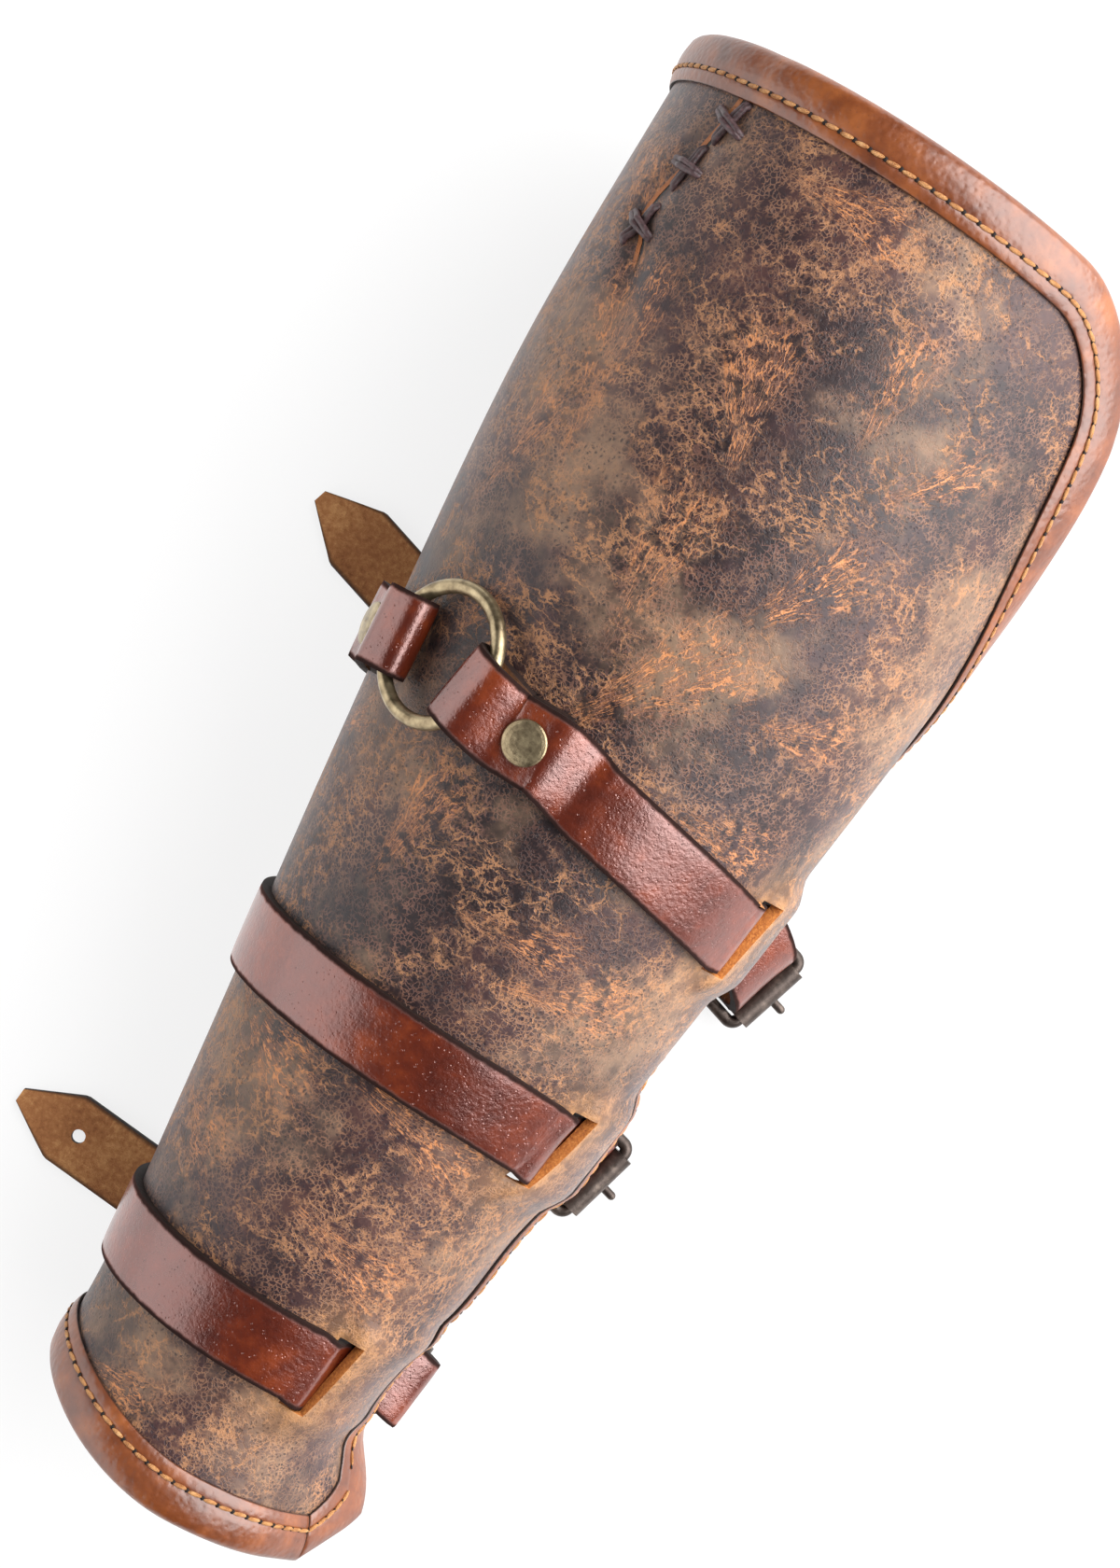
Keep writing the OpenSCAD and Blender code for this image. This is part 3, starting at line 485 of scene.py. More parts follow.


# Patches where the panel is painted lighter (above 0) or darker: length, angle, radius, how much
TONE_PATCHES = [(262, 12, 26, -1.0), (240, 36, 20, -0.7), (232, -8, 18, -0.8), (205, 22, 20, -0.7),
        (150, -5, 20, -0.8), (105, -52, 18, -0.7), (78, 2, 16, -0.5), (20, -40, 26, -0.9),
        (282, 30, 14, -0.8), (186, -45, 14, -0.7), (126, 24, 20, 1.0), (230, -60, 24, 0.8),
        (288, 12, 14, 0.8), (150, -62, 18, 0.6), (66, 34, 20, 0.9), (205, 62, 24, 0.8),
        (255, 62, 18, 0.7), (28, 28, 16, 0.9), (60, -40, 14, 0.5), (170, 48, 16, 0.5)]


def worn(i, j):
    """How much lighter (above 0) or darker the listed patches paint the panel here."""
    s, th = cell(ROWS[i], j)
    total = 0.0
    for s0, th0, radius, much in TONE_PATCHES:
        away = Vector((math.radians(th - th0) * half_w(s0), s - s0)).length
        total += much * math.exp(-(away / radius) ** 2)
    return total, 0.0, 0.0


def dart_note(i, j):
    """Distance off the dart's slit, whether the slit reaches here, and the wear beside the slots."""
    s, th = cell(ROWS[i], j)
    wear = 0.0
    for k in STRAPS:
        right_slot = right_in(s), right_in(s) + RIGHT_SLOT_W
        for middle, edge, way, span in ((k.right, right_edge(s), 1, right_slot),
                                        (k.left, left_edge(s), -1, LEFT_SLOT)):
            d = math.radians((edge - th) * way) * half_w(s)
            away = Vector((max(span[0] - d, d - span[1], 0), max(abs(s - middle) - SLOT_HALF, 0)))
            wear = max(wear, math.exp(-(away.length / 2.6) ** 2), 0.6 * math.exp(-(away.length / 7) ** 2))
    return max(-50.0, min(50.0, dart_off(s, th))), ease(262, 268, s) * (1 - ease(303, 306, s)), wear


panel = bent_leather("panel", len(ROWS), COLS, lambda i, j: on_panel(*cell(ROWS[i], j)), in_slot,
                     {"crease": crease, "worn": worn, "dart": dart_note})
grain = finish("panel_leather", panel_grain, Specular_IOR_Level=0.38, Sheen_Weight=0.12, Sheen_Roughness=0.4)
raw = finish("raw_edge", raw_edge)
flesh = finish("panel_flesh", flesh_side)
thicken(panel, PANEL_T, 0.35, (grain, flesh, raw))
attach(panel, "bracer")
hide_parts("shell_panel")


# Binding: a 23 mm strip of smooth reddish calf folded over the panel's raw edge, glued and sewn
# through with tan waxed thread. One strip runs round both long edges and the elbow end, a second
# one closes the wrist end, and they are mitred at the cut corners.
def flat(a, b):
    """The step from a to b on the unrolled leather, both given as length and angle."""
    return Vector((math.radians(b[1] - a[1]) * half_w(a[0]), b[0] - a[0]))


class Edge:
    """One smooth run of the panel's outline, with the turn of the corner at each of its ends."""

    def __init__(self, points, side):
        self.points, self.side = points, side
        self.at = [0.0]
        for a, b in zip(points, points[1:]):
            self.at.append(self.at[-1] + flat(a, b).length)
        self.length = self.at[-1]
        self.corners = [0.0, 0.0]

    def base(self, t):
        """Length and angle of the outline at t along this run."""
        i = 1
        while i < len(self.at) - 1 and self.at[i] < t:
            i += 1
        a, b = self.points[i - 1], self.points[i]
        u = (t - self.at[i - 1]) / max(self.at[i] - self.at[i - 1], 1e-9)
        return a[0] + (b[0] - a[0]) * u, a[1] + (b[1] - a[1]) * u

    def inward(self, t, w, soft=1.2):
        """Length and angle of the point w in from the edge at t along it, mitred at the corners."""
        reach = min(12.0, self.length / 2)
        t += self.corners[0] * w * max(0.0, 1 - t / reach)
        t -= self.corners[1] * w * max(0.0, 1 - (self.length - t) / reach)
        way = flat(self.base(t - soft), self.base(t + soft)).normalized()
        s, th = self.base(t)
        return s + way.x * self.side * w, th - math.degrees(way.y * self.side * w / half_w(s))


def join(first, second):
    """Sets the mitre of the corner where one run passes into the next."""
    a = flat(first.points[-2], first.points[-1]).normalized()
    b = flat(second.points[0], second.points[1]).normalized()
    first.corners[1] = second.corners[0] = math.tan(a.angle(b) / 2)


CUT = RIM.index(WRIST_CHAMFER)
chamfer_right = Edge([cell(0, j) for j in range(CUT, -1, -1)], 1)
long_edges = Edge([cell(r, 0) for r in ROWS] + [cell(ROWS[-1], j) for j in range(1, COLS - 1)]
                  + [cell(r, COLS - 1) for r in reversed(ROWS)], 1)
chamfer_left = Edge([cell(0, COLS - 1 - j) for j in range(CUT + 1)], 1)
wrist_edge = Edge([cell(0, j) for j in range(CUT, COLS - CUT)], -1)
join(chamfer_right, long_edges)
join(long_edges, chamfer_left)
turned = math.tan(math.radians(22.5))
chamfer_right.corners[0] = chamfer_left.corners[1] = turned
wrist_edge.corners = [turned, turned]

FACE = SKIN + BIND_T
BACK = -PANEL_T - FACE
SEAM, STITCH, STRIP_PITCH = 6.9, 3.55, 1.6
# Radii in mm of a stitch and of the painted shade dot at its hole
THREAD, HOLE_SHADE_DOT = (1.68, 0.47, 0.4, 1), (0.55, 0.6, 0.22, 1)
# The strip's section, from its edge on the face round the fold: distance in from the edge, height
FOLD = [(BIND_W, SKIN + 0.35), (BIND_W - 0.35, SKIN + 0.6), (9.0, FACE - 0.4), (8.0, FACE - 0.15),
        (SEAM + 0.3, FACE - 0.2), (SEAM, FACE - 0.3), (SEAM - 0.3, FACE - 0.2), (5.9, FACE + 0.05),
        (4.8, FACE + 0.2), (3.4, FACE + 0.25), (2.2, FACE + 0.12)]
ON_FACE = len(FOLD)
for a in range(70, -71, -20):
    w = 1.3 - 2.7 * math.cos(math.radians(a))
    FOLD.append((w, -PANEL_T / 2 + (PANEL_T / 2 + FACE) * math.sin(math.radians(a))))
FOLD += [(w, -PANEL_T - up) for w, up in reversed(FOLD[:ON_FACE])]


def walk(runs, pitch):
    """Places along some runs: (run, distance along it) at about this pitch, with the corners kept."""
    places = []
    for run in runs:
        n = max(2, round(run.length / pitch))
        places += [(run, run.length * i / n) for i in range(1 if places else 0, n + 1)]
    return places


def binding_grain(here, uv):
    tone = here.noise(28, 4, 0.6) * 0.5 + here.noise(160, 4, 0.6) * 0.5
    base = tone.ramp((0.36, "50230b"), (0.5, "6c3410"), (0.64, "8a4a1b"))
    across = uv.node("SeparateXYZ", (uv,), 0)
    pores = here.cracks(1000, "F1")
    base = base.mixed(pores.step(0.2, 0.05) * 0.35, "3c1d12")
    rim = across.step(0.03, 0.0) + across.step(0.97, 1.0)
    base = base.mixed(rim * 0.85, "24140f")
    base = base.mixed(across.away(0.185).step(0.03, 0.0) * 0.35, "4a2415")
    height = here.cracks(760, "SMOOTH_F1") * 0.14 + here.noise(900, 3, 0.6) * 0.05
    return {"Base Color": base, "Roughness": 0.3 + here.noise(80, 3, 0.6) * 0.16, "height": height}


def cut_edge(here, uv):
    return {"Base Color": here.noise(700, 3, 0.6).ramp((0.3, "160d0b"), (0.7, "2a1a15")), "Roughness": 0.75,
            "height": here.noise(1200, 3, 0.6) * 0.1}


bound = finish("binding_leather", binding_grain, Specular_IOR_Level=0.85)
burnished = finish("burnished_edge", cut_edge)
SIDE_RUNS = (chamfer_right, long_edges, chamfer_left)
for name, runs, section in (("side_and_elbow_strip", SIDE_RUNS, FOLD[::-1]),
                            ("wrist_strip", (wrist_edge,), FOLD)):
    places = walk(runs, STRIP_PITCH)

    def folded(i, j):
        run, t = places[i]
        w, up = section[j]
        return on_panel(*run.inward(t, w), up)
    strip = bent_leather(name, len(places), len(FOLD), folded)
    thicken(strip, BIND_T, 0, (bound, flesh, burnished))
    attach(strip, "bracer")
    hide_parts("side_and_elbow_binding" if "side" in name else "wrist_binding")


def waxed_thread(here, uv):
    shaken = here.noise(300, 2, 0.5, pick=1).moved(here)
    twist = here.node("TexWave", {"Vector": shaken, "Scale": 900.0}, 1)
    return {"Base Color": here.noise(500, 3, 0.6).ramp((0.3, "b06f38"), (0.6, "dd9f62"), (0.8, "ecbf86")),
            "Roughness": 0.55, "height": twist * 0.06}


# Saddle stitches: each one lies a little askew on the seam and dips into its holes at both ends
thread = finish("waxed_thread", waxed_thread)


# Stitch holes: a flat near-black dot at each, painted shade where the thread goes down into the leather
def painted_hole_shade(here, uv):
    return {"Base Color": here.noise(900).ramp((0, "0c0504"), (1, "1c0d08")), "Roughness": 0.9}


hole_shade_finish = finish("stitch_hole_shade", painted_hole_shade)
stitches, holes = bmesh.new(), bmesh.new()
for runs in (SIDE_RUNS, (wrist_edge,)):
    for run, t in walk(runs, STITCH):
        for up, side in ((FACE - 0.05, 1), (BACK + 0.05, -1)):
            if t + STITCH > run.length + 0.1:
                continue
            corners = run.inward(t, SEAM), run.inward(t + STITCH, SEAM)
            a, b = (place_on_table(on_panel(*c, up)) for c in corners)
            n = (place_on_table(on_panel(*corners[0], up + side)) - a).normalized()
            way = (b - a).normalized()
            across = n.cross(way)
            way = (way + 0.1 * across).normalized()
            across = n.cross(way)
            lie = Matrix((way, across, n)).transposed().to_4x4()
            bmesh.ops.create_icosphere(stitches, subdivisions=2, radius=0.001, matrix=Matrix.Translation(
                (a + b) / 2) @ lie @ Matrix.Diagonal(THREAD))
            # the dot at the stitch's first hole, painted shade
            bmesh.ops.create_icosphere(holes, subdivisions=1, radius=0.001, matrix=Matrix.Translation(
                a) @ lie @ Matrix.Diagonal(HOLE_SHADE_DOT))
for name, bm, m in (("seam_stitches", stitches, thread), ("seam_hole_shade", holes, hole_shade_finish)):
    for f in bm.faces:
        f.smooth = True
    piece = add_mesh(name, bm)
    piece.data.materials.append(m)
    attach(piece, "bracer")


# Dart lacing: three crosses of dark waxed lace pull the slit at the elbow shut. Each leg comes out
# of one hole, crosses over the slit and goes down through the hole on the other side.
def lace_finish(here, uv):
    strand = here.noise(1300, 3, 0.6)
    return {"Base Color": strand.ramp((0.3, "2b1c1e"), (0.6, "4a3436"), (0.8, "67494a")), "Roughness": 0.5,
            "height": strand * 0.15}


# Length, angle and heading of each cross
CROSSES = [(297.4, -46.4, 20), (286, -51.2, 35), (272, -55, 20)]
LACE_R, LACE_REACH, STRAND_OFF = 0.7, 5.0, 0.62
line = bpy.data.curves.new("dart_laces", "CURVE")
line.dimensions, line.bevel_depth, line.bevel_resolution = "3D", LACE_R / 1000, 3
line.use_fill_caps = True
for s0, th0, tilt in CROSSES:
    for leg, way in enumerate((tilt + 45, tilt - 40)):
        for strand in (-STRAND_OFF, STRAND_OFF):
            spline = line.splines.new("NURBS")
            spline.order_u, spline.use_endpoint_u = 3, True
            spline.points.add(8)
            for p, u in zip(spline.points, (-1.08, -1.0, -0.85, -0.45, 0, 0.45, 0.85, 1.0, 1.08)):
                w = math.radians(way)
                side = strand * (1 - abs(u) ** 2 * 0.5)
                s = s0 + LACE_REACH * u * math.sin(w) + side * math.cos(w)
                th = th0 + turn(LACE_REACH * u * math.cos(w) - side * math.sin(w), s0)
                up = 0.75 + (1 - abs(u)) * (0.3 if leg == 0 else 2.1)
                if abs(u) >= 1.0:
                    up = 0.1 if abs(u) == 1.0 else -1.2
                p.co = (*place_on_table(on_panel(s, th, up)), 1)
laces = add("dart_laces", line)
line.materials.append(finish("waxed_lace", lace_finish))
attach(laces, "bracer")
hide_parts("dart_lacing")


# Straps: glossy vegetable-tanned harness leather, 17 mm wide and 2.2 mm thick, dyed orange-brown
# with slicked dark edges. Each one holds its buckle in a riveted turned end, runs inside the left
# edge, out of the left slot, over the front, in at the right slot and down to the buckle.
HALF_T = STRAP_T / 2
WIRE, ROLLER_D, BUCKLE_LEN, CAP_D, FOOT_ROOM = 2.8, 5.2, 12.4, 9.4, 0.9
LOW_Z = STRAP_T + FOOT_ROOM + HALF_T
LOOP_R = WIRE / 2 + 0.15 + HALF_T
BAR_Z = LOW_Z + LOOP_R
OVER_Z = LOW_Z + STRAP_T + 0.1
RIVET_BACK, RIVET_FLAT, HOLE_W = 10.9, 1.6, 3.2
CAP_REACH = CAP_D / 2 + 0.2
FLAT_END = RIVET_BACK + CAP_REACH
WINDOW_X, BEND_R, TIP_LEN, TIP_W = BUCKLE_LEN - ROLLER_D / 2 - HALF_T - 0.35, 4.0, 12.5, 3.2
DEEP = -PANEL_T - 2 * SKIN - BIND_T - SEAT - HALF_T
UNDER, TOP = -PANEL_T - SEAT - HALF_T, SEAT + HALF_T


# What follows gives stations: a place, and roughly the direction of the strap's width there
def hug(s, th, up):
    """On the tube, with the width along it."""
    return on_tube(s, th, up), on_tube(s + 5, th, up) - on_tube(s - 5, th, up)


def by_buckle(k, x, z):
    """At x past strap k's heel bar and z over the table."""
    a = math.radians(k.turned)
    wide = Vector((-math.sin(a), math.cos(a), 0))
    return Vector((k.bar_x + x * math.cos(a), k.bar_y + x * math.sin(a), z)), wide


def chape(k):
    """The turned end that holds the buckle, from its cut end round the heel bar to the run below."""
    flats = -FLAT_END, -RIVET_BACK - RIVET_FLAT, -RIVET_BACK + RIVET_FLAT
    places = [(x, OVER_Z) for x in flats]
    places += [(CAP_REACH - RIVET_BACK, OVER_Z), (-4, OVER_Z + 1.6), (-2, BAR_Z + LOOP_R - 0.4)]
    places += [(LOOP_R * math.cos(math.radians(a)), BAR_Z + LOOP_R * math.sin(math.radians(a)))
               for a in range(90, -91, -30)]
    places += [(x, LOW_Z) for x in (-4, *reversed(flats), -FLAT_END - 1.5)]
    return [by_buckle(k, x, z) for x, z in places]


def left_pass(k):
    """In over the left edge and out through the left slot."""
    edge = left_edge(k.left)
    return [hug(k.left, edge + turn(d, k.left), up) for d, up in (
        (-4, DEEP - 0.4), (0, DEEP), (BIND_W, DEEP), (BIND_W + 5, UNDER), (LEFT_SLOT[0] + 0.5, UNDER),
        (LEFT_SLOT[1] - 0.5, TOP + 0.1), (LEFT_SLOT[1] + 2, TOP))]


def right_pass(k):
    """In through the right slot and out over the right edge."""
    far, near = k.inset, BIND_W + 4
    places = [(far + RIGHT_SLOT_W - 0.7, TOP), (far + 0.6, LIFT + UNDER)]
    places += [(far + (near - far) * i / 4, LIFT - 0.4 + UNDER) for i in (1, 2, 3)]
    places += [(near, LIFT - 0.2 + UNDER)]
    places += [(d, LIFT + DEEP) for d in (BIND_W + 0.8, BIND_W / 2, 0, -2.5)]
    return [hug(k.right, right_edge(k.right) - turn(d, k.right), up) for d, up in places]


def fall(k, p, bulge, sway=0.0, rise=0.45):
    """From p, past the right edge, down to the buckle's window."""
    w, wide = by_buckle(k, WINDOW_X, BAR_Z + 2.5)
    q = p + Vector((bulge, -sway, -0.35 * (p.z - w.z)))
    r = w + Vector((bulge * 0.75, -0.25 * sway, rise * (p.z - w.z)))
    return [((1 - u)**3 * p + 3 * u * (1 - u)**2 * q + 3 * u**2 * (1 - u) * r + u**3 * w, wide)
            for u in (i / 9 for i in range(1, 10))]


def tail(k, reach, hole_back):
    """Round the prong and back under the bracer to the tip."""
    places = [(WINDOW_X, BEND_R + HALF_T + 1.5)]
    for a in (0, -22.5, -45, -67.5, -90):
        out, upwards = BEND_R * math.cos(math.radians(a)), BEND_R * math.sin(math.radians(a))
        places.append((WINDOW_X - BEND_R + out, BEND_R + HALF_T + upwards))
    places += [(-x, HALF_T) for x in (0.3 * reach, reach - hole_back, reach - TIP_LEN, reach)]
    return [by_buckle(k, x, z) for x, z in places]


def strap(name, node, stations, flip=1, tip=True, punched=(), slots=()):
    """A strap along stations. The grain lies on the side that flip picks, the tip is cut to a point,
    punched holes are given by their distance back from it and slots by where they start and end."""
    at = distances([p for p, w in stations])
    total = at[-1]
    tracks = [[(t, p[axis]) for t, (p, w) in zip(at, stations)] for axis in range(3)]
    wides = [[(t, w.normalized()[axis]) for t, (p, w) in zip(at, stations)] for axis in range(3)]
    rows = round(total) + 1
    pitch = total / (rows - 1)
    cols = 25
    mid, cell_w = cols // 2, STRAP_W / (cols - 1)
    hole_rows = [round((total - back) / pitch) for back in punched]

    def place(i, j):
        t, across = i * pitch, (j - mid) * cell_w
        for r in hole_rows:
            if max(abs(i - r), abs(j - mid)) == 2:  # the hole's rim, moved from a square to a circle
                spoke = Vector((j - mid, i - r)).normalized() * HOLE_W / 2
                across, t = spoke.x, r * pitch + spoke.y
        c = Vector([along(track, t) for track in tracks])
        ahead = Vector([along(track, min(t + 0.3, total)) for track in tracks])
        behind = Vector([along(track, max(t - 0.3, 0)) for track in tracks])
        way = (ahead - behind).normalized()
        w = Vector([along(track, t) for track in wides]) * flip
        w = (w - w.dot(way) * way).normalized()
        if tip and total - t < TIP_LEN:
            across *= TIP_W / STRAP_W + (1 - TIP_W / STRAP_W) * (total - t) / TIP_LEN
        crown = 0.22 * (abs(across) / (STRAP_W / 2)) ** 6
        return c + across * w + (HALF_T - crown) * way.cross(w)

    def drop(i, j):
        inside = abs(j + 0.5 - mid) < 2
        return inside and (any(abs(i + 0.5 - r) < 2 for r in hole_rows)
                           or any(low <= (i + 0.5) * pitch <= high for low, high in slots))
    piece = bent_leather(name, rows, cols, place, drop)
    thicken(piece, STRAP_T, 0.4, (strap_leather, strap_flesh, slicked))
    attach(piece, "bracer")
    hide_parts(node)


def strap_grain(here, uv):
    across, lengthwise = (uv.node("SeparateXYZ", (uv,), axis) for axis in (0, 1))
    tone = here.noise(40, 4, 0.6) * 0.6 + here.noise(260, 4, 0.6) * 0.4
    base = tone.ramp((0.36, "390e05"), (0.5, "4f1805"), (0.64, "6f2b09"))
    pores = here.cracks(820, "F1")
    base = base.mixed(pores.step(0.2, 0.04) * here.noise(90, 2, 0.5).step(0.4, 0.6) * 0.5, "280c06")
    side = across.away(0.5) + (here.noise(400, 3, 0.6) - 0.5) * 0.05
    ends = lengthwise.away(0.5).step(0.4955, 0.499)
    base = base.mixed(side.step(0.425, 0.475) * 0.95, "1a0f0d").mixed(ends * 0.9, "1a0f0d")
    height = here.noise(1000, 3, 0.6) * 0.12 - pores.step(0.24, 0.04) * 0.07
    rub = side.step(0.42, 0.47)  # slicked edges shine less; Metallic only takes their pale gloss away
    return {"Base Color": base, "Roughness": 0.24 + rub * 0.6 + tone * 0.08, "Coat Weight": 0.2 - rub * 0.2,
            "Metallic": rub * 0.8, "height": height}


def strap_suede(here, uv):
    nap = here.noise(800, 5, 0.8)
    tone = here.noise(60, 4, 0.6) * 0.4 + nap * 0.6
    across = uv.node("SeparateXYZ", (uv,), 0)
    side = across.away(0.5).step(0.43, 0.49)
    base = tone.ramp((0.34, "7c4a26"), (0.5, "a06a3e"), (0.66, "c4925c"))
    return {"Base Color": base.mixed(side * 0.8, "3a2418"), "Roughness": 0.9, "height": nap * 0.3}


strap_leather = finish("strap_leather", strap_grain, Specular_IOR_Level=0.8, IOR=1.8,
                       Specular_Tint=(1.0, 0.66, 0.62, 1.0), Coat_Roughness=0.16)
strap_flesh = finish("strap_flesh", strap_suede)
slicked = finish("slicked_edge", cut_edge, Specular_IOR_Level=0.2)


def chape_lengths(k):
    """How far along a chape its prong slot starts and ends."""
    at = distances([p for p, w in chape(k)])
    return at[4], at[13]


def prong_slot(path):
    """Where the prong's slot starts and ends in a strap whose tail begins after path."""
    bend = distances([p for p, w in path])[-1]
    return bend + 1.8, bend + 9.4


def front(stations, a, b, n=60):
    """Over the panel from angle a to angle b."""
    return [hug(along(stations, th), th, TOP) for th in steps(a, b, n)]


def whole(name, node, k, stations, reach, hole_back, **drop):
    """A strap in one piece: stations give its length on the tube at each angle, drop goes to fall()."""
    a = left_edge(k.left) + turn(LEFT_SLOT[1] + 6, k.left)
    b = right_edge(k.right) - turn(k.inset + RIGHT_SLOT_W + 3, k.right)
    inside = right_pass(k)
    path = chape(k) + left_pass(k) + front(stations, a, b) + inside + fall(k, inside[-1][0], **drop)
    strap(name, node, path + tail(k, reach, hole_back), punched=(hole_back,),
          slots=(chape_lengths(k), prong_slot(path)))


whole("middle_strap_leather", "middle_strap", MIDDLE,
      [(-190, 112), (-156, 112), (-90, 109.6), (-36, 108.9), (20, 107.4), (60, 104.4), (90, 104.4)],
      reach=76, hole_back=30, bulge=2)
whole("wrist_strap_leather", "wrist_strap", WRIST,
      [(-190, 43.5), (-137, 43.5), (-90, 42.7), (-20, 41.7), (20, 41.4), (40, 40.6), (90, 40.6)],
      reach=92.5, hole_back=16.3, bulge=17, sway=6.5, rise=0.6)

# The upper strap is in two pieces, each folded round the ring and riveted to itself
RING_S, RING_TH, RING_WIRE = 179.6, -41.7, 3.1
RING_R = (25 + RING_WIRE) / 2
ring_at = on_tube(RING_S, RING_TH, 3.75)
rise, lie = math.radians(6), math.radians(-39)
ring_y = Vector((0, math.cos(rise), math.sin(rise)))
ring_n = Vector((math.cos(lie), 0, -math.sin(lie))).cross(ring_y).normalized()
ring_x = ring_y.cross(ring_n)
sag = RING_R - math.sqrt(RING_R**2 - (STRAP_W / 2) ** 2)
POCKET_R = RING_WIRE / 2 + 0.3 + HALF_T
POCKET_IN = RING_R - sag - RING_WIRE / 2 - 0.5 - HALF_T + POCKET_R
POCKET_OUT = RING_R + RING_WIRE / 2 + 0.5
FOLD_LOW = FOOT_ROOM + HALF_T
FOLD_HIGH = FOLD_LOW + STRAP_T + 0.1
FOLD_RIVET, FOLD_END, FOLD_AWAY = 25.5, 31.0, 42.0


# A fold leaves the ring to the right (way 1) or left (-1), turned by slant; u is the distance from it
def on_line(way, slant, u, up):
    """On the panel's surface."""
    s = RING_S - u * math.sin(slant)
    return hug(s, RING_TH + way * turn(u * math.cos(slant), RING_S), up)


def fold_flat(way, slant, u, up):
    """Flat through the rivet, where the two layers lie on each other."""
    a, b = on_line(way, slant, FOLD_RIVET - 1, FOLD_LOW), on_line(way, slant, FOLD_RIVET + 1, FOLD_LOW)
    p = on_line(way, slant, FOLD_RIVET, FOLD_LOW)
    n = (b[0] - a[0]).cross(p[1]).normalized() * way
    return p[0] + (u - FOLD_RIVET) * p[1].cross(n).normalized() * way + (up - FOLD_LOW) * n, p[1]


def fold(way, slant):
    """From the cut end below, round the ring and back over the rivet."""
    def in_plane(u, z):
        along_u = way * math.cos(slant) * ring_x - math.sin(slant) * ring_y
        wide = way * math.sin(slant) * ring_x + math.cos(slant) * ring_y
        return ring_at + u * along_u + z * ring_n, wide
    flats = FOLD_RIVET - CAP_REACH, FOLD_RIVET - RIVET_FLAT, FOLD_RIVET + RIVET_FLAT, FOLD_END
    path = [fold_flat(way, slant, u, FOLD_LOW) for u in reversed(flats)]
    path += [in_plane(POCKET_OUT, -POCKET_R), in_plane(POCKET_IN, -POCKET_R)]
    path += [in_plane(POCKET_IN + POCKET_R * math.cos(math.radians(a)),
                      POCKET_R * math.sin(math.radians(a))) for a in (-120, -150, 180, 150, 120)]
    path += [in_plane(POCKET_IN, POCKET_R), in_plane(POCKET_OUT, POCKET_R)]
    path += [fold_flat(way, slant, u, FOLD_HIGH) for u in flats]
    return path + [on_line(way, slant, FOLD_END + 7, TOP)]


front_slant, side_slant = math.radians(11.5), math.radians(6.3)
b = right_edge(UPPER.right) - turn(UPPER.inset + RIGHT_SLOT_W + 3, UPPER.right)
u_end = math.radians(b - RING_TH) * half_w(RING_S) / math.cos(front_slant)
path = fold(1, front_slant)
for u in steps(FOLD_AWAY, u_end, 30):
    s = RING_S + (UPPER.right - RING_S) * u / u_end
    path.append(hug(s, RING_TH + turn(u * math.cos(front_slant), RING_S), TOP))
inside = right_pass(UPPER)
path += inside + fall(UPPER, inside[-1][0], bulge=6)
UPPER_REACH, UPPER_HOLE = 136, 40
strap("upper_front_leather", "upper_front_strap", path + tail(UPPER, UPPER_REACH, UPPER_HOLE),
      punched=(UPPER_HOLE,), slots=(prong_slot(path),))

a = left_edge(UPPER.left) + turn(LEFT_SLOT[1] + 6, UPPER.left)
th0 = RING_TH - turn(FOLD_AWAY * math.cos(side_slant), RING_S)
s0 = RING_S - FOLD_AWAY * math.sin(side_slant)
path = fold(-1, side_slant)
path += [hug(s0 + (UPPER.left - s0) * v, th0 + (a - th0) * v, TOP) for v in steps(0, 1, 24)]
path += list(reversed(left_pass(UPPER))) + list(reversed(chape(UPPER)))
total = distances([p for p, w in path])[-1]
start, end = chape_lengths(UPPER)
strap("upper_side_leather", "upper_side_strap", path, flip=-1, tip=False,
      slots=((total - end, total - start),))


# Ring, rivets and buckles: the ring is bent from brass wire and brazed, the rivets are pressed
# double caps of thin brass, and the roller buckles are steel wire with a rolled sleeve, all aged.
def aged_brass(here, uv):
    tarnish = here.noise(350, 5, 0.65)
    base = tarnish.ramp((0.3, "5e503c"), (0.5, "948468"), (0.7, "b7a684"))
    return {"Base Color": base, "Roughness": 0.26 + tarnish * 0.22,
            "height": here.noise(1200, 3, 0.6) * 0.04}


def gunmetal(here, uv):
    wear = here.noise(300, 5, 0.65)
    base = wear.ramp((0.3, "342c28"), (0.55, "4d433e"), (0.75, "75685f"))
    return {"Base Color": base, "Roughness": 0.34 + wear * 0.2,
            "height": here.noise(1100, 3, 0.6) * 0.05}


brass = finish("aged_brass", aged_brass, Metallic=0.9)
bronze = finish("gunmetal", gunmetal, Metallic=0.75)
for name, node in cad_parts.items():
    if name == "strap_ring" or "rivet" in name or "buckle" in name:
        node.data.materials.clear()
        node.data.materials.append(bronze if "buckle" in name else brass)


# Table and light: a plain white table, a white surround, and two large soft boxes on the left and
# right of the picture, which put the broad pale gloss on both flanks of the leather.
def rays(tree):
    """Which kind of ray arrives: from the camera, glossy, or transmitted."""
    path = tree.nodes.new("ShaderNodeLightPath")
    return [Wire(tree, path.outputs[f"Is {kind} Ray"]) for kind in ("Camera", "Glossy", "Transmission")]


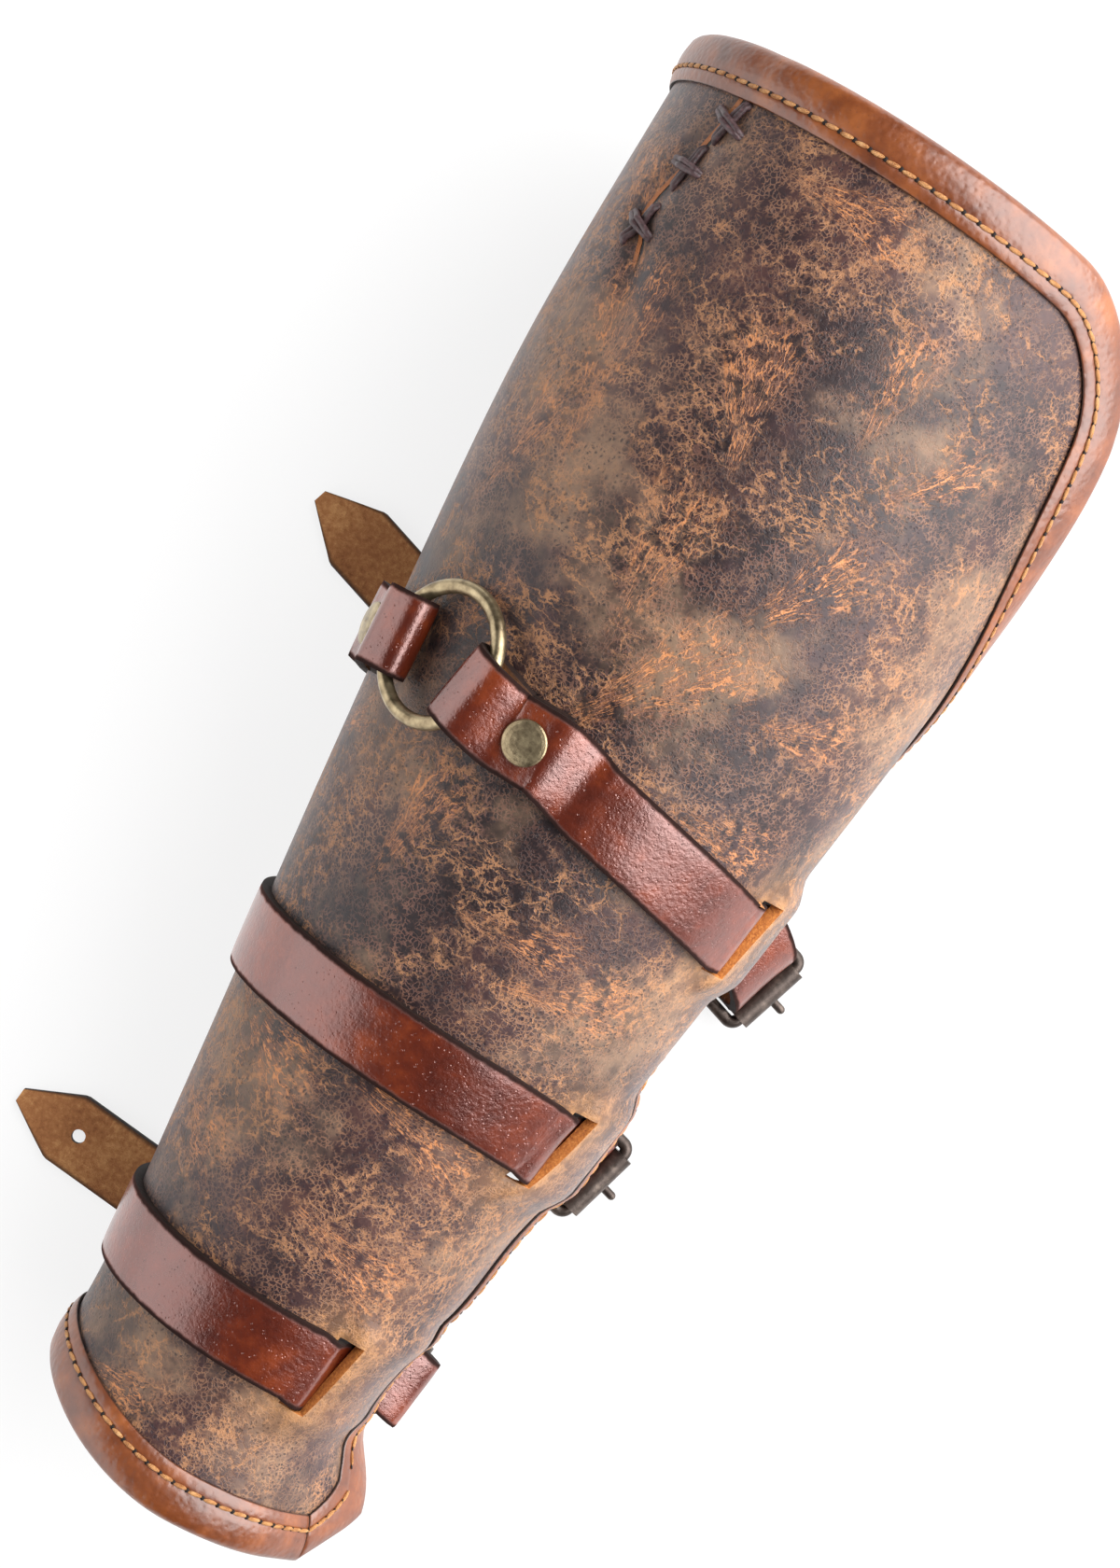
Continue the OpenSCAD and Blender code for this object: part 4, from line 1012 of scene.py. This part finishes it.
TABLE_HALF = 3
bm = bmesh.new()
bmesh.ops.create_grid(bm, x_segments=1, y_segments=1, size=TABLE_HALF)
table = add_mesh("table", bm)
paper = bpy.data.materials.new("white_table")
paper.use_nodes = True
tree = paper.node_tree
tree.nodes.clear()
start = Wire(tree)
seen, glossy, _ = rays(tree)
diffuse = start.node("BsdfDiffuse", {"Color": (0.86, 0.86, 0.86, 1)})
glow = start.node("Emission", {"Color": (1, 1, 1, 1), "Strength": 1.0 + glossy * 0.5})
part = seen * 0.8 + glossy * 0.8
final = tree.nodes.new("ShaderNodeOutputMaterial")
tree.links.new(start.node("MixShader", (part, diffuse, glow)).out, final.inputs["Surface"])
table.data.materials.append(paper)

world = bpy.data.worlds.new("surround")
bpy.context.scene.world = world
world.use_nodes = True
tree = world.node_tree
tree.nodes.clear()
start = Wire(tree)
seen, glossy, clear = rays(tree)
soft = start.node("Background", {"Color": (1, 1, 1, 1), "Strength": 0.24 - glossy * 0.21})
white = start.node("Background", {"Color": (1, 1, 1, 1), "Strength": 1.0})
final = tree.nodes.new("ShaderNodeOutputWorld")
tree.links.new(start.node("MixShader", (seen.most(clear), soft, white)).out, final.inputs["Surface"])

# The camera looks straight down from 0.75 m, turned so that the arm lies slanted as in the photo
EYE, TURN = Vector((0.00524, 0.01206, 0.75)), math.radians(31.13)
FOCAL_PX, PHOTO_PX, SENSOR = 3602, 1680, 36
right = Vector((math.cos(TURN), math.sin(TURN), 0))
# Each lamp: place, two sizes in metres, watts
lamps = [("left_box", Vector((0, 0, 0.32)) - right * 0.7, 1.5, 0.6, 6),
         ("right_box", Vector((0, 0, 0.6)) + right * 0.7, 1.6, 1.1, 38)]
for name, place, wide, high, power in lamps:
    lamp = bpy.data.lights.new(name, "AREA")
    lamp.shape, lamp.size, lamp.size_y, lamp.energy = "RECTANGLE", wide, high, power
    box = add(name, lamp)
    box.location = place
    box.rotation_euler = (Vector((0, 0, 0.05)) - place).to_track_quat("-Z", "Y").to_euler()

camera = bpy.data.cameras.new("camera")
camera.sensor_fit, camera.sensor_height = "VERTICAL", SENSOR
camera.lens = SENSOR * FOCAL_PX / PHOTO_PX
view = add("camera", camera)
view.location = EYE
view.rotation_euler = (0, 0, TURN)
bpy.context.scene.camera = view
bpy.context.scene.view_settings.view_transform = "Standard"
